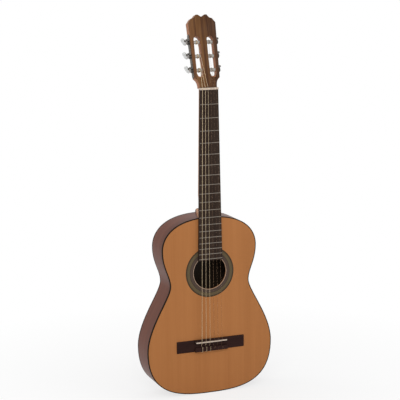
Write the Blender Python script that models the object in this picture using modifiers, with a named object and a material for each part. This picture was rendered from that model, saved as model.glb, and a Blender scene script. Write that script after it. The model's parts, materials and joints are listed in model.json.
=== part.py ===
"""Classical guitar: upright, +Z along the neck, the soundboard facing -Y, +X on the treble side.

The origin is under the lowest point of the body, on the centre line, at mid depth.
"""
import math

import bmesh
import bpy
from mathutils import Matrix, Vector

# Driving dimensions in metres: scale and body
SCALE_LENGTH = 0.650
BODY_LENGTH = 0.4665
DEPTH_AT_NECK = 0.0765
DEPTH_AT_TAIL = 0.0795
SOUNDBOARD_Y = -0.0330
UPPER_BOUT_WIDTH = 0.2580
UPPER_BOUT_DROP = 0.0814
WAIST_WIDTH = 0.2164
WAIST_DROP = 0.1738
LOWER_BOUT_WIDTH = 0.3436
LOWER_BOUT_DROP = 0.3425
# Curve handles of the body outline
SHOULDER_HANDLE = 0.1080
UPPER_BOUT_HANDLE_UP = 0.0305
UPPER_BOUT_HANDLE_DOWN = 0.0441
WAIST_HANDLE_UP = 0.0277
WAIST_HANDLE_DOWN = 0.0291
LOWER_BOUT_HANDLE_UP = 0.0665
LOWER_BOUT_HANDLE_DOWN = 0.1209
TAIL_HANDLE = 0.0753
# Plates, edges and inner structure
SOUNDBOARD_T = 0.0025
BACK_T = 0.0028
SIDE_T = 0.0020
BINDING_WIDTH = 0.0022
BINDING_HEIGHT = 0.0045
LINING_WIDTH = 0.0060
LINING_HEIGHT = 0.0140
LINING_FIT = 0.0008
BLOCK_HALF_WIDTH = 0.0350
NECK_BLOCK_LENGTH = 0.0320
TAIL_BLOCK_LENGTH = 0.0140
BAR_WIDTH = 0.0070
BAR_HEIGHT = 0.0150
UPPER_BAR_ABOVE_HOLE = 0.0140
LOWER_BAR_BELOW_HOLE = 0.0130
FAN_WIDTH = 0.0060
FAN_HEIGHT = 0.0055
FAN_LENGTH = 0.1900
FAN_TOP_GAP = 0.0100
FAN_SPREAD = 0.0420
FAN_ANGLE = math.radians(9)
PATCH_HEIGHT = 0.0340
PATCH_T = 0.0020
BACK_BRACE_1_DROP = 0.0720
BACK_BRACE_2_DROP = 0.2150
BACK_BRACE_3_DROP = 0.3350
# Sound hole and rosette
HOLE_RADIUS = 0.0445
HOLE_FROM_NUT = 0.4693
ROSETTE_MARGIN = 0.0016
ROSETTE_RADIUS = 0.0658
ROSETTE_T = 0.0010
# Neck, heel and fingerboard
NUT_WIDTH = 0.0489
TWELFTH_FRET_WIDTH = 0.0605
FINGERBOARD_LENGTH = 0.4375
FINGERBOARD_T = 0.0065
FRET_COUNT = 19
FRET_WIDTH = 0.0022
FRET_HEIGHT = 0.0010
NECK_DEPTH = 0.0152
NECK_DEPTH_AT_HEEL = 0.0172
HEEL_RISE = 0.0560
HEEL_FOOT = 0.0090
HEEL_FOOT_HALF_WIDTH = 0.0090
HEEL_CAP_T = 0.0030
HEEL_CURVE = 1.7
HEEL_FADE = 0.6
FOOT_EDGES = 3
NECK_SIDE_ROUND = 0.85
NECK_BACK_ROUND = 0.9
NUT_T = 0.0050
NUT_ABOVE_BOARD = 0.0018
# Slotted head
HEAD_TILT = math.radians(14.8)
HEAD_T = 0.0162
VENEER_T = 0.0020
HEAD_NECK_HALF = 0.0228
HEAD_LOW_HALF = 0.0329
HEAD_LOW_S = 0.0240
HEAD_HOLLOW_S = 0.0150
HEAD_SWELL_HALF = 0.0275
HEAD_SWELL_S = 0.0200
HEAD_CORNER_HALF = 0.0366
HEAD_CORNER_S = 0.1641
SHELF_OUTER = 0.0283
SHELF_OUTER_S = 0.1749
SHELF_INNER = 0.0211
SHELF_INNER_S = 0.1770
LOBE_OUTER = 0.0146
LOBE_INNER = 0.0092
LOBE_S = 0.1847
NOTCH_S = 0.1788
SLOT_INNER = 0.0085
SLOT_OUTER = 0.0268
SLOT_LOW_S = 0.0282
SLOT_HIGH_S = 0.1303
RAMP_LENGTH = 0.0300
RAMP_WIDTH = 0.0130
RAMP_BELOW_STRING = 0.0016
# Tuning machines
TUNER_MID_S = 0.0803
TUNER_SPACING = 0.0355
TUNER_DEPTH = 0.0080
PLATE_LENGTH = 0.1120
PLATE_HEIGHT = 0.0140
PLATE_T = 0.0012
BARREL_RADIUS = 0.0048
SHAFT_RADIUS = 0.0028
BAR_SOCKET = 0.0050
GEAR_TEETH = 14
GEAR_PITCH_RADIUS = 0.0053
GEAR_T = 0.0024
TOOTH_DEPTH = 0.00108
TOOTH_TIP_HALF = 0.000225
TOOTH_ROOT_HALF = 0.00054
WORM_TO_GEAR = 0.0078
WORM_CORE_RADIUS = 0.0019
THREAD_CENTRE_RADIUS = 0.0022
THREAD_RADIUS = 0.00045
THREAD_TURNS = 3
WORM_LENGTH = 0.0082
WORM_SHAFT_RADIUS = 0.0015
LUG_T = 0.0012
LUG_WIDTH = 0.0060
LUG_WALL = 0.0012
COLLAR_RADIUS = 0.0038
BUTTON_LENGTH = 0.0205
BUTTON_WIDTH = 0.0205
BUTTON_T = 0.0085
BUTTON_BEHIND_HEAD = 0.0080
# Bridge, saddle and strings
BRIDGE_LENGTH = 0.1860
BRIDGE_ABOVE_SADDLE = 0.0060
BRIDGE_BELOW_SADDLE = 0.0250
WING_T = 0.0042
SADDLE_BLOCK_LENGTH = 0.0900
SADDLE_BLOCK_T = 0.0085
SADDLE_BLOCK_BELOW = 0.0045
TIE_BLOCK_WIDTH = 0.0115
TIE_BLOCK_T = 0.0092
TIE_HOLE_RADIUS = 0.0012
TIE_HOLE_HEIGHT = 0.0062
SADDLE_LENGTH = 0.0850
SADDLE_T = 0.0026
SADDLE_TOP = 0.0122
SADDLE_SEAT = 0.0048
SADDLE_SETBACK = 0.0016
NUT_STRING_SPAN = 0.0382
SADDLE_STRING_SPAN = 0.0559
STRING_6_RADIUS = 0.00054
STRING_5_RADIUS = 0.00045
STRING_4_RADIUS = 0.00037
STRING_3_RADIUS = 0.00051
STRING_2_RADIUS = 0.00041
STRING_1_RADIUS = 0.00036
WIND_TURNS = 2
WIND_POINTS = 24
WIND_GAP = 0.0006
WIND_START = 0.0155
TIE_OFFSET = 0.0026
# Clearances and facets
CLEAR = 0.0003
RUN_CLEAR = 0.0004
OUTLINE_STEPS = 9
INNER_STEPS = 6
HOLE_STEPS = 30
ROUND_STEPS = 12
END_STEPS = 7
HEEL_STEPS = 8
THREAD_STEPS = 8
BORE_STEPS = 8
BUTTON_RINGS = 8

# Places worked out from the dimensions
STRING_RADII = (STRING_6_RADIUS, STRING_5_RADIUS, STRING_4_RADIUS, STRING_3_RADIUS, STRING_2_RADIUS,
                STRING_1_RADIUS)
NUT_Z = BODY_LENGTH + SCALE_LENGTH / 2
SADDLE_Z = NUT_Z - SCALE_LENGTH - SADDLE_SETBACK
HOLE_Z = NUT_Z - HOLE_FROM_NUT
HEAD_Z = NUT_Z + NUT_T + CLEAR
BOARD_FACE = CLEAR + FINGERBOARD_T
NUT_TOP = BOARD_FACE + NUT_ABOVE_BOARD
BACK_SLOPE = (DEPTH_AT_TAIL - DEPTH_AT_NECK) / BODY_LENGTH
HEAD_TAPER = math.atan((HEAD_CORNER_HALF - HEAD_LOW_HALF) / (HEAD_CORNER_S - HEAD_LOW_S))
WORM_LEAD = 2 * math.pi * GEAR_PITCH_RADIUS / GEAR_TEETH
GEAR_TIP_RADIUS = WORM_TO_GEAR - WORM_CORE_RADIUS - CLEAR
GEAR_PLANE = PLATE_T + RUN_CLEAR + THREAD_CENTRE_RADIUS + THREAD_RADIUS
LUG_REACH = GEAR_PLANE - PLATE_T / 2 + WORM_SHAFT_RADIUS + RUN_CLEAR + LUG_WALL

for old in list(bpy.data.objects):
    bpy.data.objects.remove(old)

PARTS = bpy.data.collections.new("classical_guitar")
TOOLS = bpy.data.collections.new("cutters")
bpy.context.scene.collection.children.link(PARTS)
bpy.context.scene.collection.children.link(TOOLS)
ROOT = bpy.data.objects.new("guitar_origin", None)
PARTS.objects.link(ROOT)


# Materials
def make_material(name, colour, roughness, metallic=0.0):
    material = bpy.data.materials.new(name)
    material.use_nodes = True
    shader = material.node_tree.nodes["Principled BSDF"]
    shader.inputs["Base Color"].default_value = (*colour, 1.0)
    shader.inputs["Roughness"].default_value = roughness
    shader.inputs["Metallic"].default_value = metallic
    return material


CEDAR = make_material("cedar", (0.36, 0.17, 0.065), 0.35)
MAHOGANY = make_material("mahogany", (0.17, 0.055, 0.035), 0.3)
BLACK_EDGE = make_material("black_edge", (0.012, 0.01, 0.009), 0.35)
SPRUCE = make_material("spruce", (0.62, 0.45, 0.26), 0.6)
CEDRELA = make_material("cedrela", (0.30, 0.13, 0.06), 0.4)
VENEER = make_material("head_veneer", (0.14, 0.065, 0.032), 0.3)
ROSEWOOD = make_material("rosewood", (0.028, 0.017, 0.013), 0.45)
INLAY = make_material("inlay", (0.15, 0.10, 0.045), 0.4)
BONE = make_material("bone", (0.80, 0.72, 0.58), 0.4)
NICKEL = make_material("nickel", (0.55, 0.54, 0.52), 0.3, 1.0)
PEARL = make_material("pearl", (0.72, 0.72, 0.70), 0.25)
NYLON = make_material("nylon", (0.78, 0.76, 0.70), 0.3)
WOUND = make_material("wound_string", (0.72, 0.70, 0.66), 0.3, 0.8)


# Modelling helpers
def weld(mesh):
    """Close the loose caps of a curve's mesh and face it outwards."""
    work = bmesh.new()
    work.from_mesh(mesh)
    bmesh.ops.remove_doubles(work, verts=work.verts, dist=1e-6)
    bmesh.ops.recalc_face_normals(work, faces=work.faces)
    work.to_mesh(mesh)
    work.free()
    return mesh


def evaluated_mesh(obj):
    """The mesh of an object after its modifiers, with the object taken away."""
    bpy.context.view_layer.update()
    evaluated = obj.evaluated_get(bpy.context.evaluated_depsgraph_get())
    mesh = bpy.data.meshes.new_from_object(evaluated)
    bpy.data.objects.remove(obj)
    return weld(mesh)


def add_part(name, mesh, matrix, material, smooth=False):
    obj = bpy.data.objects.new(name, mesh)
    PARTS.objects.link(obj)
    obj.parent = ROOT
    obj.matrix_world = matrix
    mesh.materials.clear()
    mesh.materials.append(material)
    if smooth:
        mesh.shade_smooth()
        mesh.set_sharp_from_angle(angle=math.radians(35))
    return obj


def add_tool(name, mesh, matrix):
    obj = bpy.data.objects.new(name, mesh)
    TOOLS.objects.link(obj)
    obj.matrix_world = matrix
    obj.hide_render = True
    obj.display_type = "WIRE"
    return obj


def combine(obj, tool, operation):
    modifier = obj.modifiers.new(tool.name, "BOOLEAN")
    modifier.object = tool
    modifier.operation = operation
    modifier.solver = "EXACT"


def flat_mesh(name, loops, thickness):
    """Fill closed outlines, the later ones as holes, with the front face at local z = 0."""
    curve = bpy.data.curves.new(name, "CURVE")
    curve.dimensions = "2D"
    curve.fill_mode = "BOTH"
    curve.extrude = thickness / 2
    for loop in loops:
        spline = curve.splines.new("POLY")
        spline.points.add(len(loop) - 1)
        for point, place in zip(spline.points, loop):
            point.co = (place[0], place[1], 0, 1)
        spline.use_cyclic_u = True
    guide = bpy.data.objects.new(name + "_outline", curve)
    TOOLS.objects.link(guide)
    mesh = evaluated_mesh(guide)
    mesh.transform(Matrix.Translation((0, 0, -thickness / 2)))
    return mesh


def box_mesh(name, size):
    work = bmesh.new()
    bmesh.ops.create_cube(work, size=1)
    bmesh.ops.scale(work, vec=size, verts=work.verts)
    mesh = bpy.data.meshes.new(name)
    work.to_mesh(mesh)
    work.free()
    return mesh


def cylinder_mesh(name, radius, length, steps=ROUND_STEPS):
    work = bmesh.new()
    bmesh.ops.create_cone(work, cap_ends=True, segments=steps, radius1=radius, radius2=radius, depth=length)
    mesh = bpy.data.meshes.new(name)
    work.to_mesh(mesh)
    work.free()
    return mesh


def turned_mesh(name, profile, steps=ROUND_STEPS):
    """Turn a profile of (radius, height) points, listed from top to bottom, about local Z."""
    mesh = bpy.data.meshes.new(name)
    points = [(radius, 0, height) for radius, height in profile]
    edges = [(i, i + 1) for i in range(len(points) - 1)]
    mesh.from_pydata(points, edges, [])
    obj = bpy.data.objects.new(name + "_profile", mesh)
    TOOLS.objects.link(obj)
    screw = obj.modifiers.new("turn", "SCREW")
    screw.steps = steps
    screw.render_steps = steps
    screw.use_merge_vertices = True
    screw.merge_threshold = 1e-6
    return evaluated_mesh(obj)


def tube_mesh(name, points, radius, resolution=1):
    curve = bpy.data.curves.new(name, "CURVE")
    curve.dimensions = "3D"
    curve.bevel_depth = radius
    curve.bevel_resolution = resolution
    curve.use_fill_caps = True
    spline = curve.splines.new("POLY")
    spline.points.add(len(points) - 1)
    for point, place in zip(spline.points, points):
        point.co = (*place, 1)
    guide = bpy.data.objects.new(name + "_route", curve)
    TOOLS.objects.link(guide)
    return evaluated_mesh(guide)


def loft_mesh(name, sections):
    """Skin equal loops of points from end to end and cap both ends."""
    work = bmesh.new()
    rings = [[work.verts.new(point) for point in section] for section in sections]
    count = len(rings[0])
    for low, high in zip(rings, rings[1:]):
        for i in range(count):
            j = (i + 1) % count
            work.faces.new((low[i], low[j], high[j], high[i]))
    work.faces.new(rings[0])
    work.faces.new(rings[-1])
    bmesh.ops.recalc_face_normals(work, faces=work.faces)
    mesh = bpy.data.meshes.new(name)
    work.to_mesh(mesh)
    work.free()
    return mesh


def circle(radius, steps, centre=(0, 0)):
    turns = [2 * math.pi * i / steps for i in range(steps)]
    return [(centre[0] + radius * math.cos(a), centre[1] + radius * math.sin(a)) for a in turns]


def bezier(start, first, second, end, steps):
    """Points of a cubic curve, with its start and without its end."""
    points = []
    for i in range(steps):
        t = i / steps
        u = 1 - t
        weights = (u ** 3, 3 * u * u * t, 3 * u * t * t, t ** 3)
        corners = (start, first, second, end)
        points.append(tuple(sum(w * c[axis] for w, c in zip(weights, corners)) for axis in (0, 1)))
    return points


def front_frame(forward=0.0):
    """Local x to the treble side, local y up, local z out of the front, from the soundboard's face."""
    return Matrix.Translation((0, SOUNDBOARD_Y - forward, 0)) @ Matrix.Rotation(math.pi / 2, 4, "X")


# Body outline
def half_outline(inset, steps):
    """Treble half from the top centre to the tail centre, moved in by the inset."""
    upper = (UPPER_BOUT_WIDTH / 2, BODY_LENGTH - UPPER_BOUT_DROP)
    waist = (WAIST_WIDTH / 2, BODY_LENGTH - WAIST_DROP)
    lower = (LOWER_BOUT_WIDTH / 2, BODY_LENGTH - LOWER_BOUT_DROP)
    points = bezier((0, BODY_LENGTH), (SHOULDER_HANDLE, BODY_LENGTH),
                    (upper[0], upper[1] + UPPER_BOUT_HANDLE_UP), upper, steps)
    points += bezier(upper, (upper[0], upper[1] - UPPER_BOUT_HANDLE_DOWN),
                     (waist[0], waist[1] + WAIST_HANDLE_UP), waist, steps)
    points += bezier(waist, (waist[0], waist[1] - WAIST_HANDLE_DOWN),
                     (lower[0], lower[1] + LOWER_BOUT_HANDLE_UP), lower, steps)
    points += bezier(lower, (lower[0], lower[1] - LOWER_BOUT_HANDLE_DOWN), (TAIL_HANDLE, 0), (0, 0), steps)
    points.append((0, 0))
    moved = []
    for i, (x, z) in enumerate(points):
        before = points[i - 1] if i > 0 else (-points[1][0], points[1][1])
        after = points[i + 1] if i + 1 < len(points) else (-points[-2][0], points[-2][1])
        along = Vector((after[0] - before[0], after[1] - before[1])).normalized()
        moved.append((x + along.y * inset, z - along.x * inset))
    moved[0] = (0, moved[0][1])
    moved[-1] = (0, moved[-1][1])
    return moved


def outline(inset, steps=OUTLINE_STEPS):
    half = half_outline(inset, steps)
    return half + [(-x, z) for x, z in reversed(half[1:-1])]


def edge_between(points, x, top):
    """Height of the outline's top or tail edge at a given x."""
    ordered = points if top else list(reversed(points))
    for (x0, z0), (x1, z1) in zip(ordered, ordered[1:]):
        if x0 <= abs(x) <= x1:
            return z0 + (z1 - z0) * (abs(x) - x0) / (x1 - x0)
    return ordered[0][1]


def half_width(z, inset):
    points = half_outline(inset, OUTLINE_STEPS)
    for (x0, z0), (x1, z1) in zip(points, points[1:]):
        if z1 <= z <= z0:
            return x0 + (x1 - x0) * (z0 - z) / (z0 - z1)
    return 0.0


def lean_to_back(mesh, behind):
    """Let everything behind the given depth follow the back, which falls away towards the tail."""
    for vertex in mesh.vertices:
        if vertex.co.z < -behind:
            vertex.co.z -= BACK_SLOPE * (BODY_LENGTH - vertex.co.y)
    mesh.update()


# Body: plates, sides, edges and inner structure
INNER_INSET = max(SIDE_T, BINDING_WIDTH) + CLEAR
LINING_INSET = INNER_INSET + LINING_FIT
LINED_INSET = LINING_INSET + LINING_WIDTH + LINING_FIT
FRONT_INSIDE = SOUNDBOARD_T + CLEAR
BACK_INSIDE = DEPTH_AT_NECK - BACK_T - CLEAR


def make_soundboard():
    hole = circle(HOLE_RADIUS, HOLE_STEPS, (0, HOLE_Z))
    mesh = flat_mesh("soundboard", [outline(BINDING_WIDTH + CLEAR), hole], SOUNDBOARD_T)
    board = add_part("soundboard", mesh, front_frame(), CEDAR)
    wide = circle(ROSETTE_RADIUS + CLEAR, HOLE_STEPS, (0, HOLE_Z))
    tight = circle(HOLE_RADIUS + ROSETTE_MARGIN - CLEAR, HOLE_STEPS, (0, HOLE_Z))
    depth = ROSETTE_T + CLEAR
    recess = flat_mesh("rosette_recess", [wide, tight], 2 * depth)
    combine(board, add_tool("rosette_recess", recess, front_frame(depth)), "DIFFERENCE")
    ring = [circle(ROSETTE_RADIUS, HOLE_STEPS, (0, HOLE_Z)),
            circle(HOLE_RADIUS + ROSETTE_MARGIN, HOLE_STEPS, (0, HOLE_Z))]
    add_part("rosette", flat_mesh("rosette", ring, ROSETTE_T), front_frame(), INLAY)


def make_back_and_edges():
    ring = [outline(0), outline(BINDING_WIDTH)]
    add_part("top_binding", flat_mesh("top_binding", ring, BINDING_HEIGHT), front_frame(), BLACK_EDGE)
    rim = flat_mesh("back_binding", ring, BINDING_HEIGHT)
    rim.transform(Matrix.Translation((0, 0, BINDING_HEIGHT - DEPTH_AT_NECK)))
    lean_to_back(rim, 0)
    add_part("back_binding", rim, front_frame(), BLACK_EDGE)
    plate = flat_mesh("back", [outline(BINDING_WIDTH + CLEAR)], BACK_T)
    plate.transform(Matrix.Translation((0, 0, BACK_T - DEPTH_AT_NECK)))
    lean_to_back(plate, 0)
    add_part("back", plate, front_frame(), MAHOGANY)


def make_sides():
    depth = DEPTH_AT_NECK - 2 * (BINDING_HEIGHT + CLEAR)
    for name, sign in (("side_treble", 1), ("side_bass", -1)):
        outer = half_outline(0, OUTLINE_STEPS)
        inner = half_outline(SIDE_T, OUTLINE_STEPS)
        loop = outer + list(reversed(inner))
        loop = [(sign * max(x, CLEAR / 2), z) for x, z in loop]
        mesh = flat_mesh(name, [loop], depth)
        mesh.transform(Matrix.Translation((0, 0, -BINDING_HEIGHT - CLEAR)))
        lean_to_back(mesh, DEPTH_AT_NECK / 2)
        add_part(name, mesh, front_frame(), MAHOGANY)


def make_linings():
    ring = [outline(LINING_INSET, INNER_STEPS), outline(LINING_INSET + LINING_WIDTH, INNER_STEPS)]
    top = flat_mesh("top_lining", ring, LINING_HEIGHT)
    top.transform(Matrix.Translation((0, 0, -FRONT_INSIDE)))
    add_part("top_lining", top, front_frame(), SPRUCE)
    low = flat_mesh("back_lining", ring, LINING_HEIGHT)
    low.transform(Matrix.Translation((0, 0, LINING_HEIGHT - BACK_INSIDE)))
    lean_to_back(low, 0)
    add_part("back_lining", low, front_frame(), SPRUCE)


def make_blocks():
    front = FRONT_INSIDE + LINING_HEIGHT + CLEAR
    depth = BACK_INSIDE - LINING_HEIGHT - CLEAR - front
    points = half_outline(INNER_INSET, OUTLINE_STEPS)
    spots = [BLOCK_HALF_WIDTH * i / INNER_STEPS for i in range(-INNER_STEPS, INNER_STEPS + 1)]
    for name, top, length in (("neck_block", True, -NECK_BLOCK_LENGTH),
                              ("tail_block", False, TAIL_BLOCK_LENGTH)):
        edge = [(x, edge_between(points, x, top)) for x in spots]
        middle = edge_between(points, 0, top) + length
        loop = edge + [(BLOCK_HALF_WIDTH, middle), (-BLOCK_HALF_WIDTH, middle)]
        mesh = flat_mesh(name, [loop], depth)
        mesh.transform(Matrix.Translation((0, 0, -front)))
        lean_to_back(mesh, DEPTH_AT_NECK / 2)
        add_part(name, mesh, front_frame(), CEDRELA)


def bar_length(z, width):
    return 2 * min(half_width(z - width / 2, LINED_INSET), half_width(z + width / 2, LINED_INSET))


def make_top_braces():
    upper_z = HOLE_Z + HOLE_RADIUS + UPPER_BAR_ABOVE_HOLE
    lower_z = HOLE_Z - HOLE_RADIUS - LOWER_BAR_BELOW_HOLE
    middle = FRONT_INSIDE + BAR_HEIGHT / 2
    for name, z in (("upper_bar", upper_z), ("lower_bar", lower_z)):
        mesh = box_mesh(name, (bar_length(z, BAR_WIDTH), BAR_WIDTH, BAR_HEIGHT))
        add_part(name, mesh, front_frame() @ Matrix.Translation((0, z, -middle)), SPRUCE)
    patch_z = SADDLE_Z - (BRIDGE_BELOW_SADDLE - BRIDGE_ABOVE_SADDLE) / 2
    patch_place = Matrix.Translation((0, patch_z, -FRONT_INSIDE - PATCH_T / 2))
    patch = box_mesh("bridge_patch", (BRIDGE_LENGTH, PATCH_HEIGHT, PATCH_T))
    add_part("bridge_patch", patch, front_frame() @ patch_place, SPRUCE)
    notch_size = (BRIDGE_LENGTH + 2 * CLEAR, PATCH_HEIGHT + 2 * CLEAR, PATCH_T + 2 * CLEAR)
    notch = add_tool("patch_notch", box_mesh("patch_notch", notch_size), front_frame() @ patch_place)
    top = lower_z - BAR_WIDTH / 2 - FAN_TOP_GAP
    for name, step in (("fan_brace_bass", -1), ("fan_brace_centre", 0), ("fan_brace_treble", 1)):
        mesh = box_mesh(name, (FAN_WIDTH, FAN_LENGTH, FAN_HEIGHT))
        mesh.transform(Matrix.Translation((0, -FAN_LENGTH / 2, 0)))
        place = Matrix.Translation((step * FAN_SPREAD, top, -FRONT_INSIDE - FAN_HEIGHT / 2))
        spread = Matrix.Rotation(step * FAN_ANGLE, 4, "Z")
        brace = add_part(name, mesh, front_frame() @ place @ spread, SPRUCE)
        combine(brace, notch, "DIFFERENCE")


def make_back_braces():
    for number, drop in enumerate((BACK_BRACE_1_DROP, BACK_BRACE_2_DROP, BACK_BRACE_3_DROP), 1):
        z = BODY_LENGTH - drop
        mesh = box_mesh("back_brace_%d" % number, (bar_length(z, BAR_WIDTH), BAR_WIDTH, BAR_HEIGHT))
        mesh.transform(Matrix.Translation((0, z, BAR_HEIGHT / 2 - BACK_INSIDE)))
        lean_to_back(mesh, 0)
        add_part("back_brace_%d" % number, mesh, front_frame(), SPRUCE)


# Neck, heel, fingerboard and nut
def neck_half_width(z):
    slope = (TWELFTH_FRET_WIDTH - NUT_WIDTH) / (SCALE_LENGTH / 2)
    return (NUT_WIDTH + slope * max(NUT_Z - z, 0)) / 2


def neck_section(rise, depth, foot, flare):
    """Half round section, drawn towards a flat-footed heel by the foot's share."""
    z = BODY_LENGTH + rise
    half = neck_half_width(z)
    points = []
    for i in range(ROUND_STEPS + 2):
        share = i / (ROUND_STEPS + 1)
        turn = math.pi * share
        round_x = half * math.copysign(abs(math.cos(turn)) ** NECK_SIDE_ROUND, math.cos(turn))
        round_y = depth * math.sin(turn) ** NECK_BACK_ROUND
        side = min(FOOT_EDGES * min(share, 1 - share), 1)
        heel_x = math.copysign(half + (HEEL_FOOT_HALF_WIDTH - half) * side, 0.5 - share)
        if 1 / FOOT_EDGES < share < 1 - 1 / FOOT_EDGES:
            heel_x = HEEL_FOOT_HALF_WIDTH * 2 * FOOT_EDGES * (0.5 - share)
        x = round_x + (heel_x - round_x) * foot
        y = round_y + (depth * side - round_y) * foot
        points.append((x, SOUNDBOARD_Y + y, z - flare * y))
    return points


def make_neck():
    heel_depth = DEPTH_AT_NECK - HEEL_CAP_T - CLEAR
    sections = [neck_section(-HEEL_FOOT, heel_depth, 1, 0), neck_section(HEEL_FOOT, heel_depth, 1, 0)]
    for i in range(1, HEEL_STEPS + 1):
        share = i / HEEL_STEPS
        rise = HEEL_FOOT + (HEEL_RISE - HEEL_FOOT) * share ** 2
        depth = NECK_DEPTH_AT_HEEL + (heel_depth - NECK_DEPTH_AT_HEEL) * (1 - share) ** HEEL_CURVE
        sections.append(neck_section(rise, depth, (1 - share) ** HEEL_FADE, 0))
    top_rise = HEAD_Z - CLEAR - BODY_LENGTH
    blend = HEAD_T
    sections.append(neck_section(top_rise - 2 * blend, NECK_DEPTH, 0, 0))
    sections.append(neck_section(top_rise - blend / 2, HEAD_T, 0, math.tan(HEAD_TILT) / 2))
    sections.append(neck_section(top_rise, HEAD_T / math.cos(HEAD_TILT), 0, math.tan(HEAD_TILT)))
    neck = add_part("neck", loft_mesh("neck", sections), Matrix(), CEDRELA, smooth=True)
    body = flat_mesh("body_space", [outline(-CLEAR)], 2 * DEPTH_AT_TAIL)
    combine(neck, add_tool("body_space", body, front_frame(DEPTH_AT_TAIL / 2)), "DIFFERENCE")
    low = BODY_LENGTH + CLEAR
    bend = bezier((HEEL_FOOT_HALF_WIDTH, low), (HEEL_FOOT_HALF_WIDTH, low + HEEL_FOOT),
                  (HEEL_FOOT_HALF_WIDTH / 2, low + HEEL_FOOT), (0, low + HEEL_FOOT), INNER_STEPS)
    loop = bend + [(0, low + HEEL_FOOT)] + [(-x, z) for x, z in reversed(bend)]
    cap = flat_mesh("heel_cap", [loop], HEEL_CAP_T)
    cap.transform(Matrix.Translation((0, 0, HEEL_CAP_T - DEPTH_AT_NECK)))
    add_part("heel_cap", cap, front_frame(), ROSEWOOD)


def fret_z(number):
    return NUT_Z - SCALE_LENGTH * (1 - 2 ** (-number / 12))


def make_fingerboard():
    """Side profile with the frets standing on it, drawn out to a taper."""
    top = NUT_Z - CLEAR
    low = NUT_Z - FINGERBOARD_LENGTH
    profile = [(top, CLEAR), (top, BOARD_FACE)]
    for number in range(1, FRET_COUNT + 1):
        z = fret_z(number)
        crown = FRET_WIDTH / 4
        profile += [(z + 2 * crown, BOARD_FACE), (z + crown, BOARD_FACE + FRET_HEIGHT)]
        profile += [(z - crown, BOARD_FACE + FRET_HEIGHT), (z - 2 * crown, BOARD_FACE)]
    profile += [(low, BOARD_FACE), (low, CLEAR)]
    mesh = flat_mesh("fingerboard", [profile], 1.0)
    for vertex in mesh.vertices:
        z, forward, side = vertex.co
        half = neck_half_width(z)
        vertex.co = (half if side > -0.5 else -half, SOUNDBOARD_Y - forward, z)
    weld(mesh)
    add_part("fingerboard", mesh, Matrix(), ROSEWOOD)
    nut = box_mesh("nut", (NUT_WIDTH, NUT_T, NUT_TOP - CLEAR))
    place = Matrix.Translation((0, NUT_Z + NUT_T / 2, (NUT_TOP + CLEAR) / 2))
    add_part("nut", nut, front_frame() @ place, BONE)


# Slotted head
def head_frame():
    """Local x to the treble side, local y up the head, local z out of its face."""
    turn = Matrix.Rotation(math.pi / 2 - HEAD_TILT, 4, "X")
    return Matrix.Translation((0, SOUNDBOARD_Y, HEAD_Z)) @ turn


def head_outline():
    low = bezier((HEAD_NECK_HALF, 0), (HEAD_NECK_HALF, HEAD_HOLLOW_S), (HEAD_SWELL_HALF, HEAD_SWELL_S),
                 (HEAD_LOW_HALF, HEAD_LOW_S), INNER_STEPS)
    half = low + [(HEAD_LOW_HALF, HEAD_LOW_S), (HEAD_CORNER_HALF, HEAD_CORNER_S)]
    half += [(SHELF_OUTER, SHELF_OUTER_S), (SHELF_INNER, SHELF_INNER_S)]
    half += [(LOBE_OUTER, LOBE_S), (LOBE_INNER, LOBE_S)]
    return half + [(0, NOTCH_S)] + [(-x, s) for x, s in reversed(half)]


def head_slot(sign):
    middle = sign * (SLOT_INNER + SLOT_OUTER) / 2
    radius = (SLOT_OUTER - SLOT_INNER) / 2
    points = []
    for i in range(2 * END_STEPS):
        turn = math.pi * (i // END_STEPS + (i % END_STEPS) / (END_STEPS - 1))
        end = SLOT_HIGH_S - radius if i < END_STEPS else SLOT_LOW_S + radius
        points.append((middle + radius * math.cos(turn), end + radius * math.sin(turn)))
    return points


def make_head():
    loops = [head_outline(), head_slot(1), head_slot(-1)]
    head = add_part("headstock", flat_mesh("headstock", loops, HEAD_T), head_frame(), CEDRELA)
    veneer_place = Matrix.Translation((0, 0, VENEER_T + CLEAR))
    face = flat_mesh("head_veneer", loops, VENEER_T)
    veneer = add_part("head_veneer", face, head_frame() @ veneer_place, VENEER)
    for side in (1, -1):
        for step in (-1, 0, 1):
            roller = roller_frame(side, step)
            reach = cheek(step) + SLOT_OUTER - SLOT_INNER + BAR_SOCKET
            name = "roller_bore_%s_%d" % ("treble" if side > 0 else "bass", step)
            bore = cylinder_mesh(name, SHAFT_RADIUS + RUN_CLEAR, reach + 2 * PLATE_T, BORE_STEPS)
            place = roller @ Matrix.Translation((0, 0, PLATE_T - reach / 2))
            combine(head, add_tool(name, bore, place), "DIFFERENCE")
        name = "ramp_treble" if side > 0 else "ramp_bass"
        fall = math.atan2(NUT_TOP + TUNER_DEPTH - BARREL_RADIUS, TUNER_MID_S - TUNER_SPACING)
        mesh = box_mesh(name, (RAMP_WIDTH, RAMP_LENGTH, RAMP_LENGTH))
        mesh.transform(Matrix.Translation((0, 0, RAMP_LENGTH / 2 - RAMP_BELOW_STRING)))
        height = NUT_TOP - SLOT_LOW_S * math.tan(fall)
        middle = side * (SLOT_INNER + SLOT_OUTER) / 2
        place = Matrix.Translation((middle, SLOT_LOW_S, height)) @ Matrix.Rotation(-fall, 4, "X")
        ramp = add_tool(name, mesh, head_frame() @ place)
        combine(head, ramp, "DIFFERENCE")
        combine(veneer, ramp, "DIFFERENCE")


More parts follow.
